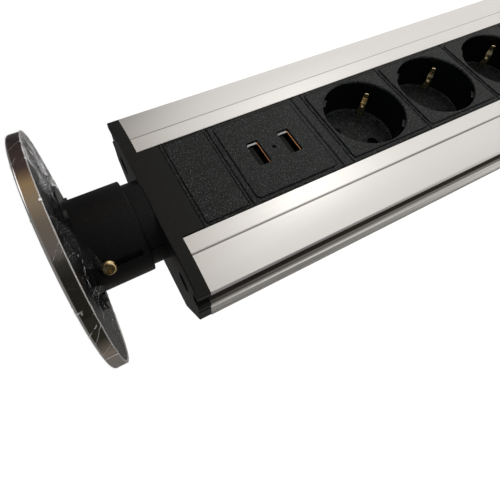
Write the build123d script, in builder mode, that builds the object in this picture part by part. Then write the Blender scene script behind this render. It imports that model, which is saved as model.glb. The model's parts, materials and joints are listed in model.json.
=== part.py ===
"""Worktop power tower: an aluminium column of socket and USB modules under a telescoping steel cap.

Millimetres. +Z runs up the column to the cap, the socket faces look along -Y, and the origin
is on the axis of the round neck, at the bottom face that the column stands on.
"""

from math import cos, radians, sin, sqrt, tan
import os

from build123d import *

# Column section
NECK_AXIS_DEPTH = 16.5            # neck axis behind the flat front
FRONT_Y = -NECK_AXIS_DEPTH
COLUMN_DEPTH = 50.5
BACK_Y = FRONT_Y + COLUMN_DEPTH
HALF_WIDTH = 46.25
FLAT_HALF = 30.15                 # from the centre to the step where the flank starts
STEP_WIDTH = 0.8
STEP_DEPTH = 0.5
FLANK_BULGE = 0.35
LIP_FRONT = 3.0                   # depths from here to SIDE_END are measured from the front plane
GROOVE_START = 5.25
GROOVE_DEPTH = 4.5
GROOVE_END = 13.4
BEAD_END = 17.8
SIDE_START = 19.0
SLIT_START = 24.1
SLIT_END = 25.9
SLIT_DEPTH = 0.85
SIDE_END = 26.7
BACK_HALF = 30.0
WALL = 1.8
OPENING_HALF = 22.85
OPENING_EDGE = 0.2
RAIL_WALL = 1.6
RAIL_DEPTH = 9.0
LEDGE_REACH = 1.25
LEDGE_THICKNESS = 1.4
PORT_WEB = 2.0
SCREW_PORT_X = 32.3
SCREW_PORT_Y = FRONT_Y + 16.5
SCREW_PORT_R = 3.4
PORT_HOLE_R = 1.4

# Lengths along the column
END_PLATE = 5.3
CAP_EDGE = 0.5
PROFILE_LENGTH = 270.0
BRIDGE_LENGTH = 9.1               # what each end cap fills of the front opening
BLANK_LENGTH = 22.2
USB_LENGTH = 44.2
STRIP_LENGTH = 5.05
SOCKET_PITCH = 44.85
SOCKET_COUNT = 3
PROFILE_TOP = END_PLATE + PROFILE_LENGTH
CAP_PLATE_TOP = PROFILE_TOP + END_PLATE

# Face plates: a border flush with the profile, and a panel that stands proud of it
PLATE_WIDTH = 44.8
PLATE_THICKNESS = 1.75
PLATE_GAP = 0.3
PLATE_EDGE = 0.4
PANEL_RISE = 0.5
PANEL_EDGE = 0.15
PANEL_GROOVE = 0.5                # width and depth of the groove round a panel's foot
BLANK_PANEL = (42.4, 18.5, 0.6)   # width, height and corner radius
LAST_MARGIN = 1.6
USB_PANEL = (40.8, 38.9, 1.8)
SOCKET_PANEL = (40.95, 41.6, 1.2)
BODY_HALF = 21.3

# Earthed socket with a round well
WELL_R = 19.6
WELL_DEPTH = 17.5
WELL_EDGE = 0.6
WELL_FLOOR_EDGE = 1.2
CUP_R = 21.2
FLOOR_THICKNESS = 1.8
PIN_SPACING = 19.0
PIN_HOLE_R = 2.75
PIN_AXIS_DEG = 45.0
SHUTTER_R = 13.8
SHUTTER_THICKNESS = 1.4
SHUTTER_TURN = 36.0
PIVOT_R = 2.4
HOUSING_R = 16.4
HOUSING_DEPTH = 15.0
LUG_CIRCLE = 18.9
LUG_R = 2.0
LUG_THICKNESS = 2.0
BOSS_LENGTH = 5.5
FLOOR_FRONT_Y = FRONT_Y + WELL_DEPTH
FLOOR_BACK_Y = FLOOR_FRONT_Y + FLOOR_THICKNESS
HOUSING_BACK_Y = FLOOR_BACK_Y + HOUSING_DEPTH
STRIP_METAL = 0.8
CLIP_METAL = 0.7
CLIP_WIDTH = 3.4

# USB ports
PORT_SPACING = 15.5
PORT_MOUTH = 0.5                  # how far the ports stand back from the border's face
PORT_CORNER = 1.0
SHELL_LONG = 13.1
SHELL_SHORT = 5.7
SHELL_WALL = 0.3
SHELL_DEPTH = 14.0
TONGUE_LONG = 11.1
TONGUE_THICKNESS = 1.9
TONGUE_SHIFT = 0.55               # the tongue sits off the middle of the port
TONGUE_FRONT = PORT_MOUTH + 1.6
TONGUE_BACK = PORT_MOUTH + SHELL_DEPTH
CONTACT_OFFSETS = (-3.5, -1.0, 1.0, 3.5)
CONTACT_THICKNESS = 0.25
LIGHT_R = 0.85
LIGHT_RECESS = 0.3
BOARD_SIZE = 37.0
BOARD_THICKNESS = 1.6
BOARD_FRONT = TONGUE_BACK
POST_SPACING = (31.0, 33.0)
POST_R = 1.9
BOARD_SCREW_R = 0.85
BOARD_SCREW_LENGTH = 5.0
CHIP_HEIGHT = 1.4
SUPPLY_HALF = 17.0
SUPPLY_POST_SPACING = 24.0
SUPPLY_POST_LENGTH = 3.0
SUPPLY_FRONT = BOARD_FRONT + BOARD_THICKNESS + SUPPLY_POST_LENGTH
SUPPLY_DEPTH = COLUMN_DEPTH - WALL - 0.3 - SUPPLY_FRONT

# Neck and cap
TUBE_R = 17.8
TUBE_WALL = 2.4
TUBE_TOP = PROFILE_TOP + 33.0
FOOT_THICKNESS = 3.0
FOOT_TOP = CAP_PLATE_TOP + FOOT_THICKNESS
SLEEVE_CLEARANCE = 0.08
SLEEVE_R = 19.85
SLEEVE_BOTTOM = PROFILE_TOP + 12.1
SLEEVE_EDGE = 0.3
CAP_R = 49.0
CAP_BOTTOM = PROFILE_TOP + 36.5
CAP_THICKNESS = 5.1
CAP_TOP = CAP_BOTTOM + CAP_THICKNESS
CAP_METAL = 1.2
BACKING_RECESS = 0.4
FLANGE_R = 26.6
FLANGE_THICKNESS = 2.4
GUIDE_ANGLE = -152.5
GUIDE_Z = PROFILE_TOP + 28.3
GUIDE_SHANK_R = 1.4
GUIDE_HEAD_R = 3.15
GUIDE_HEAD_HEIGHT = 1.9
GUIDE_HEAD_DOME = 1.2
SLOT_WIDTH = 3.0
CAP_TRAVEL = 12.0
FILM_THICKNESS = 0.25
FILM_GAP = 0.1

# Cable inlet
INLET_Y = FRONT_Y + 34.0
CABLE_R = 4.3
BUSHING_R = 7.0
BUSHING_FLANGE_R = 8.6
BUSHING_FLANGE = 1.4

# End caps, with the cable inlet and the cord clamp
SCREW_HEAD_R = 3.1
SCREW_HEAD_HEIGHT = 1.9
SCREW_SHANK_R = 1.35
SCREW_LENGTH = 16.0
COUNTERBORE_R = 4.3
COUNTERBORE_DEPTH = 3.2
FOOT_SCREW_CIRCLE = 11.5
FOOT_SCREWS = 3
BRIDGE_WALL = 1.6
BRIDGE_SKIRT = 6.0
SADDLE_FRONT_Y = INLET_Y + CABLE_R + 0.3
SADDLE_THICKNESS = 4.4
SADDLE_HALF = 16.0
SADDLE_TOP = 14.0
CLAMP_SCREW_X = 12.0
CLAMP_SCREW_Z = 9.6
PILLAR_X = 18.5
PILLAR_Y = FRONT_Y + 36.0
PILLAR_R = 2.4
BLOCK_BOTTOM = 22.0
CLAMP_BACK_Y = INLET_Y - CABLE_R - 0.2
CLAMP_THICKNESS = 3.4
CLAMP_HALF = 15.5
CLAMP_HEIGHT = 7.0

# Snap claws and sockets
CLAW_DEPTH = PLATE_THICKNESS + 0.1 + LEDGE_THICKNESS
CLAW_WIDTH = 8.0
SKIRT_WALL = 1.5
CLIP_AXIS_DEG = PIN_AXIS_DEG - 90.0
RIB_WIDTH = 4.6
RIB_REACH = 1.3
CLIP_ARM = [(17.6, WELL_DEPTH - 1.0), (15.1, 10.5), (17.4, 5.6), (16.5, 3.2)]    # radius and depth
SHUTTER_GAP = 0.3
SHUTTER_FRONT_Y = FLOOR_BACK_Y + SHUTTER_GAP
HOUSING_FRONT_Y = SHUTTER_FRONT_Y + SHUTTER_THICKNESS + SHUTTER_GAP
PIVOT_LENGTH = SHUTTER_GAP + SHUTTER_THICKNESS

# Busbars, terminal block and wires
BAR_FRONT_Y = HOUSING_BACK_Y + 0.2
BRIDGE_FRONT_Y = BAR_FRONT_Y + STRIP_METAL + 1.6
PIN_OFFSET = PIN_SPACING / 2 / sqrt(2)
BAR_WIDTH = 5.0
FORK_WIDTH = 4.6
FORK_GAP = 4.2
FORK_METAL = 0.7
FORK_FRONT_Y = HOUSING_FRONT_Y + 1.2
BAR_BOTTOM = 28.0
EARTH_BAR_Y = BRIDGE_FRONT_Y + CLIP_METAL
BLOCK_TOP = 36.0
BLOCK_FRONT_Y = FRONT_Y + 29.0
BLOCK_BACK_Y = FRONT_Y + 44.0
BLOCK_HALF = 21.0
POLES = [(-PIN_OFFSET, BAR_FRONT_Y), (0.0, EARTH_BAR_Y), (PIN_OFFSET, BAR_FRONT_Y)]
POLE_SCREW_Z = 32.0
SUPPLY_WIRE_R = 1.1
WIRE_ROUTE = [(17.5, 40.0, BLOCK_TOP), (17.5, 40.0, 54.0), (20.0, 42.0, 84.0), (22.0, 42.5, 126.0),
              (20.0, 42.0, 164.0), (12.5, 40.5, 186.0)]    # across, depth and height, up to the USB supply

# Inside the neck, and the fixings of the moving cap
SEAM_ANGLE = -160.0
LATCH_R = 7.0
LATCH_TOP = PROFILE_TOP + 30.0
PIN_R = 2.7
PIN_BORE_R = 2.8
FOOT_SCREW_R = 1.15
BACKING_BOTTOM = CAP_BOTTOM + BACKING_RECESS
BACKING_TOP = CAP_TOP - CAP_METAL - 0.1
SPRING_WIRE_R = 0.9
SPRING_R = 11.8
SPRING_TURNS = 6
SPRING_BOTTOM = FOOT_TOP + 0.1
SPRING_TOP = BACKING_BOTTOM - 0.1
CAP_SCREW_CIRCLE = 24.2
CAP_SCREW_R = 1.1
SLOT_TOP = GUIDE_Z + GUIDE_SHANK_R + 0.1
SLOT_BOTTOM = GUIDE_Z - GUIDE_SHANK_R - 0.3 - CAP_TRAVEL
FILM_INNER_R = 38.0

os.makedirs("parts", exist_ok=True)


def write(part, name):
    """Labels a finished piece and writes it under its own name."""
    part.label = name
    export_step(part, f"parts/{name}.step")


def front_plane(z, depth=0.0):
    """A plane parallel to the front, at a depth behind it, with x across and y up the column."""
    return Plane(origin=(0, FRONT_Y + depth, z), x_dir=(1, 0, 0), z_dir=(0, -1, 0))


def radial_plane(angle, z):
    """A plane that faces outwards from the neck axis, with its origin on the axis."""
    outward = (cos(radians(angle)), sin(radians(angle)), 0)
    return Plane(origin=(0, 0, z), x_dir=(-outward[1], outward[0], 0), z_dir=outward)


def module_centres():
    """Heights of the middles of the front's modules, worked down from the top of the profile."""
    top = PROFILE_TOP - BRIDGE_LENGTH
    blank = top - BLANK_LENGTH / 2
    top -= BLANK_LENGTH
    usb = top - USB_LENGTH / 2
    top -= USB_LENGTH
    strip = top - STRIP_LENGTH / 2
    top -= STRIP_LENGTH
    sockets = [top - SOCKET_PITCH * (k + 0.5) for k in range(SOCKET_COUNT)]
    last_top = top - SOCKET_PITCH * SOCKET_COUNT
    last_length = last_top - END_PLATE - BRIDGE_LENGTH
    return blank, usb, strip, sockets, last_top - last_length / 2, last_length


BLANK_Z, USB_Z, STRIP_Z, SOCKET_Z, LAST_Z, LAST_LENGTH = module_centres()
PORT_Z = [USB_Z + side * PORT_SPACING / 2 for side in (1, -1)]


def column_outline(detailed=True):
    """The outer outline of the column. The end plates leave out its front step and its side slits."""
    lip_y = FRONT_Y + LIP_FRONT
    groove_start_y = FRONT_Y + GROOVE_START
    groove_end_y = FRONT_Y + GROOVE_END
    bead_end_y = FRONT_Y + BEAD_END
    side_y = FRONT_Y + SIDE_START
    side_end_y = FRONT_Y + SIDE_END
    groove_x = HALF_WIDTH - GROOVE_DEPTH
    notch_x = HALF_WIDTH - 1.0
    side_x = HALF_WIDTH - 0.3
    step_edge = [(FLAT_HALF, FRONT_Y)] if detailed else []
    flank_start = (FLAT_HALF + STEP_WIDTH, FRONT_Y + (STEP_DEPTH if detailed else 0.05))
    flank_end = (HALF_WIDTH - 0.35, lip_y - 0.45)
    flank_middle = ((flank_start[0] + flank_end[0]) / 2, (flank_start[1] + flank_end[1]) / 2 - FLANK_BULGE)
    slit_x = side_x - SLIT_DEPTH
    slit_y = FRONT_Y + SLIT_START
    slit_end_y = FRONT_Y + SLIT_END
    slit = [(side_x, slit_y), (slit_x, slit_y), (slit_x, slit_end_y), (HALF_WIDTH, slit_end_y),
            (HALF_WIDTH, side_end_y)]
    side_end = slit if detailed else [(side_x, side_end_y)]
    with BuildSketch() as outline:
        with BuildLine():
            Polyline((0, FRONT_Y), *step_edge, flank_start)
            ThreePointArc(flank_start, flank_middle, flank_end)
            ThreePointArc(flank_end, (HALF_WIDTH - 0.09, lip_y - 0.28), (HALF_WIDTH, lip_y))
            Polyline((HALF_WIDTH, lip_y), (HALF_WIDTH, groove_start_y), (groove_x, groove_start_y),
                     (groove_x, groove_end_y), (notch_x, groove_end_y))
            ThreePointArc((notch_x, groove_end_y), (HALF_WIDTH, (groove_end_y + bead_end_y) / 2),
                          (notch_x, bead_end_y))
            Polyline((notch_x, bead_end_y), (notch_x, side_y), (side_x, side_y + 0.3), *side_end,
                     (BACK_HALF, BACK_Y), (0, BACK_Y))
            mirror(about=Plane.YZ)
        make_face()
    return outline.sketch


def column_cavity():
    """The hollow of the profile behind its walls."""
    inner_x = HALF_WIDTH - GROOVE_DEPTH - WALL
    outer_x = HALF_WIDTH - 1.0 - WALL
    shelf_y = FRONT_Y + GROOVE_END + WALL
    skin_y = FRONT_Y + WALL + 0.4
    with BuildSketch() as cavity:
        with BuildLine():
            Polyline((0, FRONT_Y + RAIL_DEPTH), (OPENING_HALF + RAIL_WALL, FRONT_Y + RAIL_DEPTH),
                     (OPENING_HALF + RAIL_WALL, skin_y), (FLAT_HALF, skin_y),
                     (inner_x, skin_y + 1.3), (inner_x, shelf_y), (outer_x, shelf_y),
                     (outer_x, FRONT_Y + SIDE_END - 0.6), (BACK_HALF - 0.9, BACK_Y - WALL),
                     (0, BACK_Y - WALL))
            mirror(about=Plane.YZ)
        make_face()
    return cavity.sketch


# The aluminium profile: outer skin, front opening with rails and ledges, and screw ports
with BuildPart() as extrusion:
    with BuildSketch(Plane.XY.offset(END_PLATE)):
        add(column_outline())
        add(column_cavity(), mode=Mode.SUBTRACT)
        with Locations((0, FRONT_Y + RAIL_DEPTH / 2)):
            Rectangle(2 * OPENING_HALF, RAIL_DEPTH + 1.0, mode=Mode.SUBTRACT)
        with Locations((-OPENING_HALF, FRONT_Y), (OPENING_HALF, FRONT_Y)):
            Rectangle(OPENING_EDGE * sqrt(2), OPENING_EDGE * sqrt(2), rotation=45, mode=Mode.SUBTRACT)
        for side in (-1, 1):
            with Locations((side * (OPENING_HALF - LEDGE_REACH / 2),
                            FRONT_Y + PLATE_THICKNESS + 0.05 + LEDGE_THICKNESS / 2)):
                Rectangle(LEDGE_REACH, LEDGE_THICKNESS)
            web_length = HALF_WIDTH - GROOVE_DEPTH - WALL - SCREW_PORT_X
            web_y = FRONT_Y + GROOVE_END + WALL - PORT_WEB / 2
            with Locations((side * (SCREW_PORT_X + web_length / 2), web_y)):
                Rectangle(web_length + 0.2, PORT_WEB)
            with Locations((side * SCREW_PORT_X, SCREW_PORT_Y)):
                Circle(SCREW_PORT_R)
                Circle(PORT_HOLE_R, mode=Mode.SUBTRACT)
    extrude(amount=PROFILE_LENGTH)
write(extrusion.part, "extrusion")


# End caps: a plate over the profile's end, and a bridge that fills the opening beside it


def bridge_frame():
    """The skirt behind a bridge, that slides between the rails of the profile."""
    with BuildSketch() as frame:
        with Locations((0, FRONT_Y + PLATE_THICKNESS + BRIDGE_SKIRT / 2)):
            Rectangle(2 * BODY_HALF, BRIDGE_SKIRT)
            Rectangle(2 * (BODY_HALF - BRIDGE_WALL), BRIDGE_SKIRT, mode=Mode.SUBTRACT)
    return frame.sketch


def long_outer_edges(rim):
    """The edges of an end plate's rim that are rounded: the front, the flanks, the sides and the back."""
    outer = rim.filter_by(lambda edge: not FRONT_Y + 4 < edge.center().Y < FRONT_Y + 20)
    return outer.filter_by(lambda edge: edge.length > 3.5)


with BuildPart() as top_end_cap:
    with BuildSketch(Plane.XY.offset(PROFILE_TOP)):
        add(column_outline(detailed=False))
    extrude(amount=END_PLATE)
    fillet(long_outer_edges(edges().group_by(Axis.Z)[-1]), CAP_EDGE)
    with BuildSketch(front_plane(PROFILE_TOP - BRIDGE_LENGTH / 2)):
        Rectangle(PLATE_WIDTH, BRIDGE_LENGTH)
    extrude(amount=-PLATE_THICKNESS)
    with BuildSketch(Plane.XY.offset(PROFILE_TOP)):
        add(bridge_frame())
    extrude(amount=-BRIDGE_LENGTH)
    with BuildSketch(Plane.XY.offset(CAP_PLATE_TOP)):
        with PolarLocations(FOOT_SCREW_CIRCLE, FOOT_SCREWS, start_angle=90):
            Circle(1.6)
    extrude(amount=-END_PLATE, mode=Mode.SUBTRACT)
    with Locations(*[Plane(origin=(side * SCREW_PORT_X, SCREW_PORT_Y, CAP_PLATE_TOP)) for side in (-1, 1)]):
        CounterBoreHole(1.7, COUNTERBORE_R, COUNTERBORE_DEPTH, depth=END_PLATE)
write(top_end_cap.part, "top_end_cap")


# The bottom end cap also holds the cable inlet, the cord clamp and the terminal block

with BuildPart() as bottom_end_cap:
    with BuildSketch():
        add(column_outline(detailed=False))
    extrude(amount=END_PLATE)
    fillet(long_outer_edges(edges().group_by(Axis.Z)[0]), CAP_EDGE)
    with BuildSketch(front_plane(END_PLATE + BRIDGE_LENGTH / 2)):
        Rectangle(PLATE_WIDTH, BRIDGE_LENGTH)
    extrude(amount=-PLATE_THICKNESS)
    with BuildSketch(Plane.XY.offset(END_PLATE)):
        add(bridge_frame())
    extrude(amount=BRIDGE_LENGTH)
    with BuildSketch(Plane.XY.offset(END_PLATE)):
        with Locations((0, SADDLE_FRONT_Y + SADDLE_THICKNESS / 2)):
            Rectangle(2 * SADDLE_HALF, SADDLE_THICKNESS)
    extrude(amount=SADDLE_TOP - END_PLATE)
    with BuildSketch(Plane.XY.offset(END_PLATE)):
        with Locations((-PILLAR_X, PILLAR_Y), (PILLAR_X, PILLAR_Y)):
            Circle(PILLAR_R)
    extrude(amount=BLOCK_BOTTOM - END_PLATE)
    with Locations(Plane(origin=(0, INLET_Y, 0), z_dir=(0, 0, -1))):
        CounterBoreHole(BUSHING_R, BUSHING_FLANGE_R, BUSHING_FLANGE, depth=END_PLATE)
    with BuildSketch(Plane(origin=(0, SADDLE_FRONT_Y, CLAMP_SCREW_Z), x_dir=(1, 0, 0), z_dir=(0, -1, 0))):
        with Locations((-CLAMP_SCREW_X, 0), (CLAMP_SCREW_X, 0)):
            Circle(SCREW_SHANK_R)
    extrude(amount=-SADDLE_THICKNESS, mode=Mode.SUBTRACT)
    screw_planes = [Plane(origin=(side * SCREW_PORT_X, SCREW_PORT_Y, 0), z_dir=(0, 0, -1)) for side in (-1, 1)]
    with Locations(*screw_planes):
        CounterBoreHole(1.7, COUNTERBORE_R, COUNTERBORE_DEPTH, depth=END_PLATE)
write(bottom_end_cap.part, "bottom_end_cap")


def end_screws(seat_z, direction):
    """The two pan screws that pull an end cap against the profile's screw ports."""
    with BuildPart() as screws:
        for side in (-1, 1):
            seat = Plane(origin=(side * SCREW_PORT_X, SCREW_PORT_Y, seat_z), z_dir=(0, 0, direction))
            with BuildSketch(seat):
                Circle(SCREW_HEAD_R)
            extrude(amount=SCREW_HEAD_HEIGHT)
            with BuildSketch(seat):
                Circle(SCREW_SHANK_R)
            extrude(amount=-SCREW_LENGTH)
            with BuildSketch(seat.offset(SCREW_HEAD_HEIGHT)):
                Rectangle(3.6, 0.8)
                Rectangle(0.8, 3.6)
            extrude(amount=-1.0, mode=Mode.SUBTRACT)
    return screws.part


write(end_screws(CAP_PLATE_TOP - COUNTERBORE_DEPTH, 1), "top_cap_screws")
write(end_screws(COUNTERBORE_DEPTH, -1), "bottom_cap_screws")




def face_plate(z, length, width, height, corner_r):
    """A plate whose border lies flush with the profile, with a raised panel and a groove round its foot."""
    with BuildPart() as plate:
        with BuildSketch(front_plane(z)):
            Rectangle(PLATE_WIDTH, length - PLATE_GAP)
        extrude(amount=-PLATE_THICKNESS)
        chamfer(edges().group_by(Axis.Y)[0], PLATE_EDGE)
        with BuildSketch(front_plane(z)):
            RectangleRounded(width + 2 * PANEL_GROOVE, height + 2 * PANEL_GROOVE, corner_r + PANEL_GROOVE)
            RectangleRounded(width, height, corner_r, mode=Mode.SUBTRACT)
        extrude(amount=-PANEL_GROOVE, mode=Mode.SUBTRACT)
        with BuildSketch(front_plane(z)):
            RectangleRounded(width, height, corner_r)
        extrude(amount=PANEL_RISE)
        chamfer(edges().group_by(Axis.Y)[0], PANEL_EDGE)
    return plate.part


def plain_plate(z, length):
    """A flat plate, flush with the profile."""
    with BuildPart() as plate:
        with BuildSketch(front_plane(z)):
            Rectangle(PLATE_WIDTH, length - PLATE_GAP)
        extrude(amount=-PLATE_THICKNESS)
        chamfer(edges().group_by(Axis.Y)[0], PLATE_EDGE)
    return plate.part


def flat_module(plate, z, length, skirt_depth):
    """A plate with a skirt behind it and claws that snap under the ledges of the profile."""
    with BuildPart() as module:
        add(plate)
        with BuildSketch(front_plane(z, PLATE_THICKNESS)):
            Rectangle(2 * BODY_HALF, length - 1.4)
            Rectangle(2 * (BODY_HALF - SKIRT_WALL), length - 1.4 - 2 * SKIRT_WALL, mode=Mode.SUBTRACT)
        extrude(amount=-skirt_depth)
        with BuildSketch(front_plane(z, CLAW_DEPTH)):
            with Locations((-BODY_HALF, 0), (BODY_HALF, 0)):
                Rectangle(1.6, min(CLAW_WIDTH, length - 2.0))
        extrude(amount=-2.0)
    return module.part


last_panel = (BLANK_PANEL[0], LAST_LENGTH - PLATE_GAP - 2 * LAST_MARGIN, BLANK_PANEL[2])
write(flat_module(face_plate(BLANK_Z, BLANK_LENGTH, *BLANK_PANEL), BLANK_Z, BLANK_LENGTH, 7.0), "blank_plate")
write(flat_module(plain_plate(STRIP_Z, STRIP_LENGTH), STRIP_Z, STRIP_LENGTH, 7.0), "filler_strip")
write(flat_module(face_plate(LAST_Z, LAST_LENGTH, *last_panel), LAST_Z, LAST_LENGTH, 7.0), "lower_blank_plate")


# USB module: the faceplate has two port windows with a light between them
usb_plate = flat_module(face_plate(USB_Z, USB_LENGTH, *USB_PANEL), USB_Z, USB_LENGTH, 9.0)
with BuildPart() as usb_faceplate:
    add(usb_plate)
    with BuildSketch(front_plane(USB_Z, -PANEL_RISE)):
        with Locations(*[(0, z - USB_Z) for z in PORT_Z]):
            RectangleRounded(SHELL_LONG + 0.2, SHELL_SHORT + 0.2, PORT_CORNER)
        Circle(LIGHT_R + 0.05)
    extrude(amount=-(PANEL_RISE + PLATE_THICKNESS), mode=Mode.SUBTRACT)
    with BuildSketch(front_plane(USB_Z, PLATE_THICKNESS)):
        with GridLocations(*POST_SPACING, 2, 2):
            Circle(POST_R)
    extrude(amount=-(BOARD_FRONT - PLATE_THICKNESS))
    with BuildSketch(front_plane(USB_Z, BOARD_FRONT)):
        with GridLocations(*POST_SPACING, 2, 2):
            Circle(BOARD_SCREW_R + 0.05)
    extrude(amount=BOARD_SCREW_LENGTH + 0.5, mode=Mode.SUBTRACT)
write(usb_faceplate.part, "usb_faceplate")

with BuildPart() as usb_port_shells:
    for z in PORT_Z:
        with BuildSketch(front_plane(z, PORT_MOUTH)):
            RectangleRounded(SHELL_LONG, SHELL_SHORT, PORT_CORNER - 0.1)
            RectangleRounded(SHELL_LONG - 2 * SHELL_WALL, SHELL_SHORT - 2 * SHELL_WALL,
                             PORT_CORNER - 0.1 - SHELL_WALL, mode=Mode.SUBTRACT)
        extrude(amount=-SHELL_DEPTH)
write(usb_port_shells.part, "usb_port_shells")

with BuildPart() as usb_tongues:
    for z in PORT_Z:
        with BuildSketch(front_plane(z + TONGUE_SHIFT, TONGUE_FRONT)):
            Rectangle(TONGUE_LONG, TONGUE_THICKNESS)
        extrude(amount=-(TONGUE_BACK - TONGUE_FRONT))
        with BuildSketch(front_plane(z, TONGUE_BACK)):
            RectangleRounded(SHELL_LONG - 2 * SHELL_WALL - 0.2, SHELL_SHORT - 2 * SHELL_WALL - 0.2, 0.5)
        extrude(amount=3.5)
write(usb_tongues.part, "usb_tongues")

with BuildPart() as usb_contacts:
    for z in PORT_Z:
        contact_z = z + TONGUE_SHIFT - TONGUE_THICKNESS / 2 - CONTACT_THICKNESS / 2
        with BuildSketch(front_plane(contact_z, TONGUE_FRONT + 1.0)):
            with Locations(*[(x, 0) for x in CONTACT_OFFSETS]):
                Rectangle(1.0, CONTACT_THICKNESS)
        extrude(amount=-7.0)
write(usb_contacts.part, "usb_contacts")

with BuildPart() as usb_board:
    with BuildSketch(front_plane(USB_Z, BOARD_FRONT)):
        Rectangle(BOARD_SIZE, BOARD_SIZE)
        with GridLocations(*POST_SPACING, 2, 2):
            Circle(BOARD_SCREW_R + 0.25, mode=Mode.SUBTRACT)
    extrude(amount=-BOARD_THICKNESS)
    with BuildSketch(front_plane(USB_Z, BOARD_FRONT + BOARD_THICKNESS)):
        with Locations((-8, 6), (8, 6)):
            Rectangle(6.0, 5.0)
        with Locations((0, -9)):
            Rectangle(9.0, 4.0)
    extrude(amount=-CHIP_HEIGHT)
write(usb_board.part, "usb_board")

with BuildPart() as usb_board_screws:
    with BuildSketch(front_plane(USB_Z, BOARD_FRONT + BOARD_THICKNESS)):
        with GridLocations(*POST_SPACING, 2, 2):
            Circle(1.7)
    extrude(amount=-1.2)
    with BuildSketch(front_plane(USB_Z, BOARD_FRONT + BOARD_THICKNESS)):
        with GridLocations(*POST_SPACING, 2, 2):
            Circle(BOARD_SCREW_R)
    extrude(amount=BOARD_THICKNESS + BOARD_SCREW_LENGTH)
write(usb_board_screws.part, "usb_board_screws")

with BuildPart() as usb_light_pipe:
    with BuildSketch(front_plane(USB_Z, LIGHT_RECESS)):
        Circle(LIGHT_R)
    extrude(amount=-(BOARD_FRONT - LIGHT_RECESS))
    with BuildSketch(front_plane(USB_Z, BOARD_FRONT)):
        Circle(1.8)
    extrude(amount=2.0)
write(usb_light_pipe.part, "usb_light_pipe")

with BuildPart() as usb_power_supply:
    with BuildSketch(front_plane(USB_Z, SUPPLY_FRONT)):
        RectangleRounded(2 * SUPPLY_HALF, 2 * SUPPLY_HALF, 3.0)
    extrude(amount=-SUPPLY_DEPTH)
    with BuildSketch(front_plane(USB_Z, SUPPLY_FRONT)):
        with GridLocations(SUPPLY_POST_SPACING, SUPPLY_POST_SPACING, 2, 2):
            Circle(1.5)
    extrude(amount=SUPPLY_POST_LENGTH)
write(usb_power_supply.part, "usb_power_supply")


# Earthed sockets: each face has a round well, two pin holes on a slanted line and slots for the clips


def well_edges():
    """The round edges of a well, from its mouth to its floor."""
    rounds = edges().filter_by(GeomType.CIRCLE)
    return rounds.filter_by(lambda edge: abs(edge.radius - WELL_R) < 0.01).group_by(Axis.Y)


def socket_face(z):
    """Plate and well in one moulding, with two guide ribs, pin holes, clip slots and a shutter pivot."""
    with BuildPart() as face:
        add(face_plate(z, SOCKET_PITCH, *SOCKET_PANEL))
        with BuildSketch(front_plane(z, PLATE_THICKNESS)):
            Circle(CUP_R)
        extrude(amount=-(WELL_DEPTH + FLOOR_THICKNESS - PLATE_THICKNESS))
        with BuildSketch(front_plane(z, -PANEL_RISE)):
            Circle(WELL_R)
        extrude(amount=-(PANEL_RISE + WELL_DEPTH), mode=Mode.SUBTRACT)
        fillet(well_edges()[0], WELL_EDGE)
        fillet(well_edges()[-1], WELL_FLOOR_EDGE)
        with BuildSketch(front_plane(z, WELL_DEPTH)):
            with PolarLocations(WELL_R - RIB_REACH / 2 + 0.3, 2, start_angle=PIN_AXIS_DEG):
                Rectangle(RIB_REACH + 0.6, RIB_WIDTH)
        extrude(amount=WELL_DEPTH - 1.2)
        with BuildSketch(front_plane(z, WELL_DEPTH)):
            with PolarLocations(PIN_SPACING / 2, 2, start_angle=PIN_AXIS_DEG):
                Circle(PIN_HOLE_R)
            with PolarLocations(CLIP_ARM[0][0], 2, start_angle=CLIP_AXIS_DEG):
                Rectangle(CLIP_METAL + 0.8, CLIP_WIDTH + 0.8)
        extrude(amount=-FLOOR_THICKNESS, mode=Mode.SUBTRACT)
        with BuildSketch(front_plane(z, WELL_DEPTH + FLOOR_THICKNESS)):
            Circle(PIVOT_R)
        extrude(amount=-PIVOT_LENGTH)
        with BuildSketch(front_plane(z, WELL_DEPTH + FLOOR_THICKNESS)):
            with PolarLocations(LUG_CIRCLE, 2, start_angle=PIN_AXIS_DEG):
                Circle(LUG_R)
        extrude(amount=-BOSS_LENGTH)
        with BuildSketch(front_plane(z, WELL_DEPTH + FLOOR_THICKNESS + BOSS_LENGTH)):
            with PolarLocations(LUG_CIRCLE, 2, start_angle=PIN_AXIS_DEG):
                Circle(BOARD_SCREW_R + 0.05)
        extrude(amount=BOARD_SCREW_LENGTH, mode=Mode.SUBTRACT)
        with BuildSketch(front_plane(z, CLAW_DEPTH)):
            with Locations((-CUP_R, 0), (CUP_R, 0)):
                Rectangle(1.6, CLAW_WIDTH)
        extrude(amount=-2.0)
    return face.part


def socket_shutter(z):
    """The turning disc that keeps both pin holes shut until two pins push it round together."""
    with BuildPart() as shutter:
        with BuildSketch(front_plane(z, SHUTTER_FRONT_Y - FRONT_Y)):
            Circle(SHUTTER_R)
            Circle(PIVOT_R + 0.05, mode=Mode.SUBTRACT)
            with PolarLocations(PIN_SPACING / 2, 2, start_angle=PIN_AXIS_DEG - SHUTTER_TURN):
                Circle(PIN_HOLE_R, mode=Mode.SUBTRACT)
        extrude(amount=-SHUTTER_THICKNESS)
    return shutter.part


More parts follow.
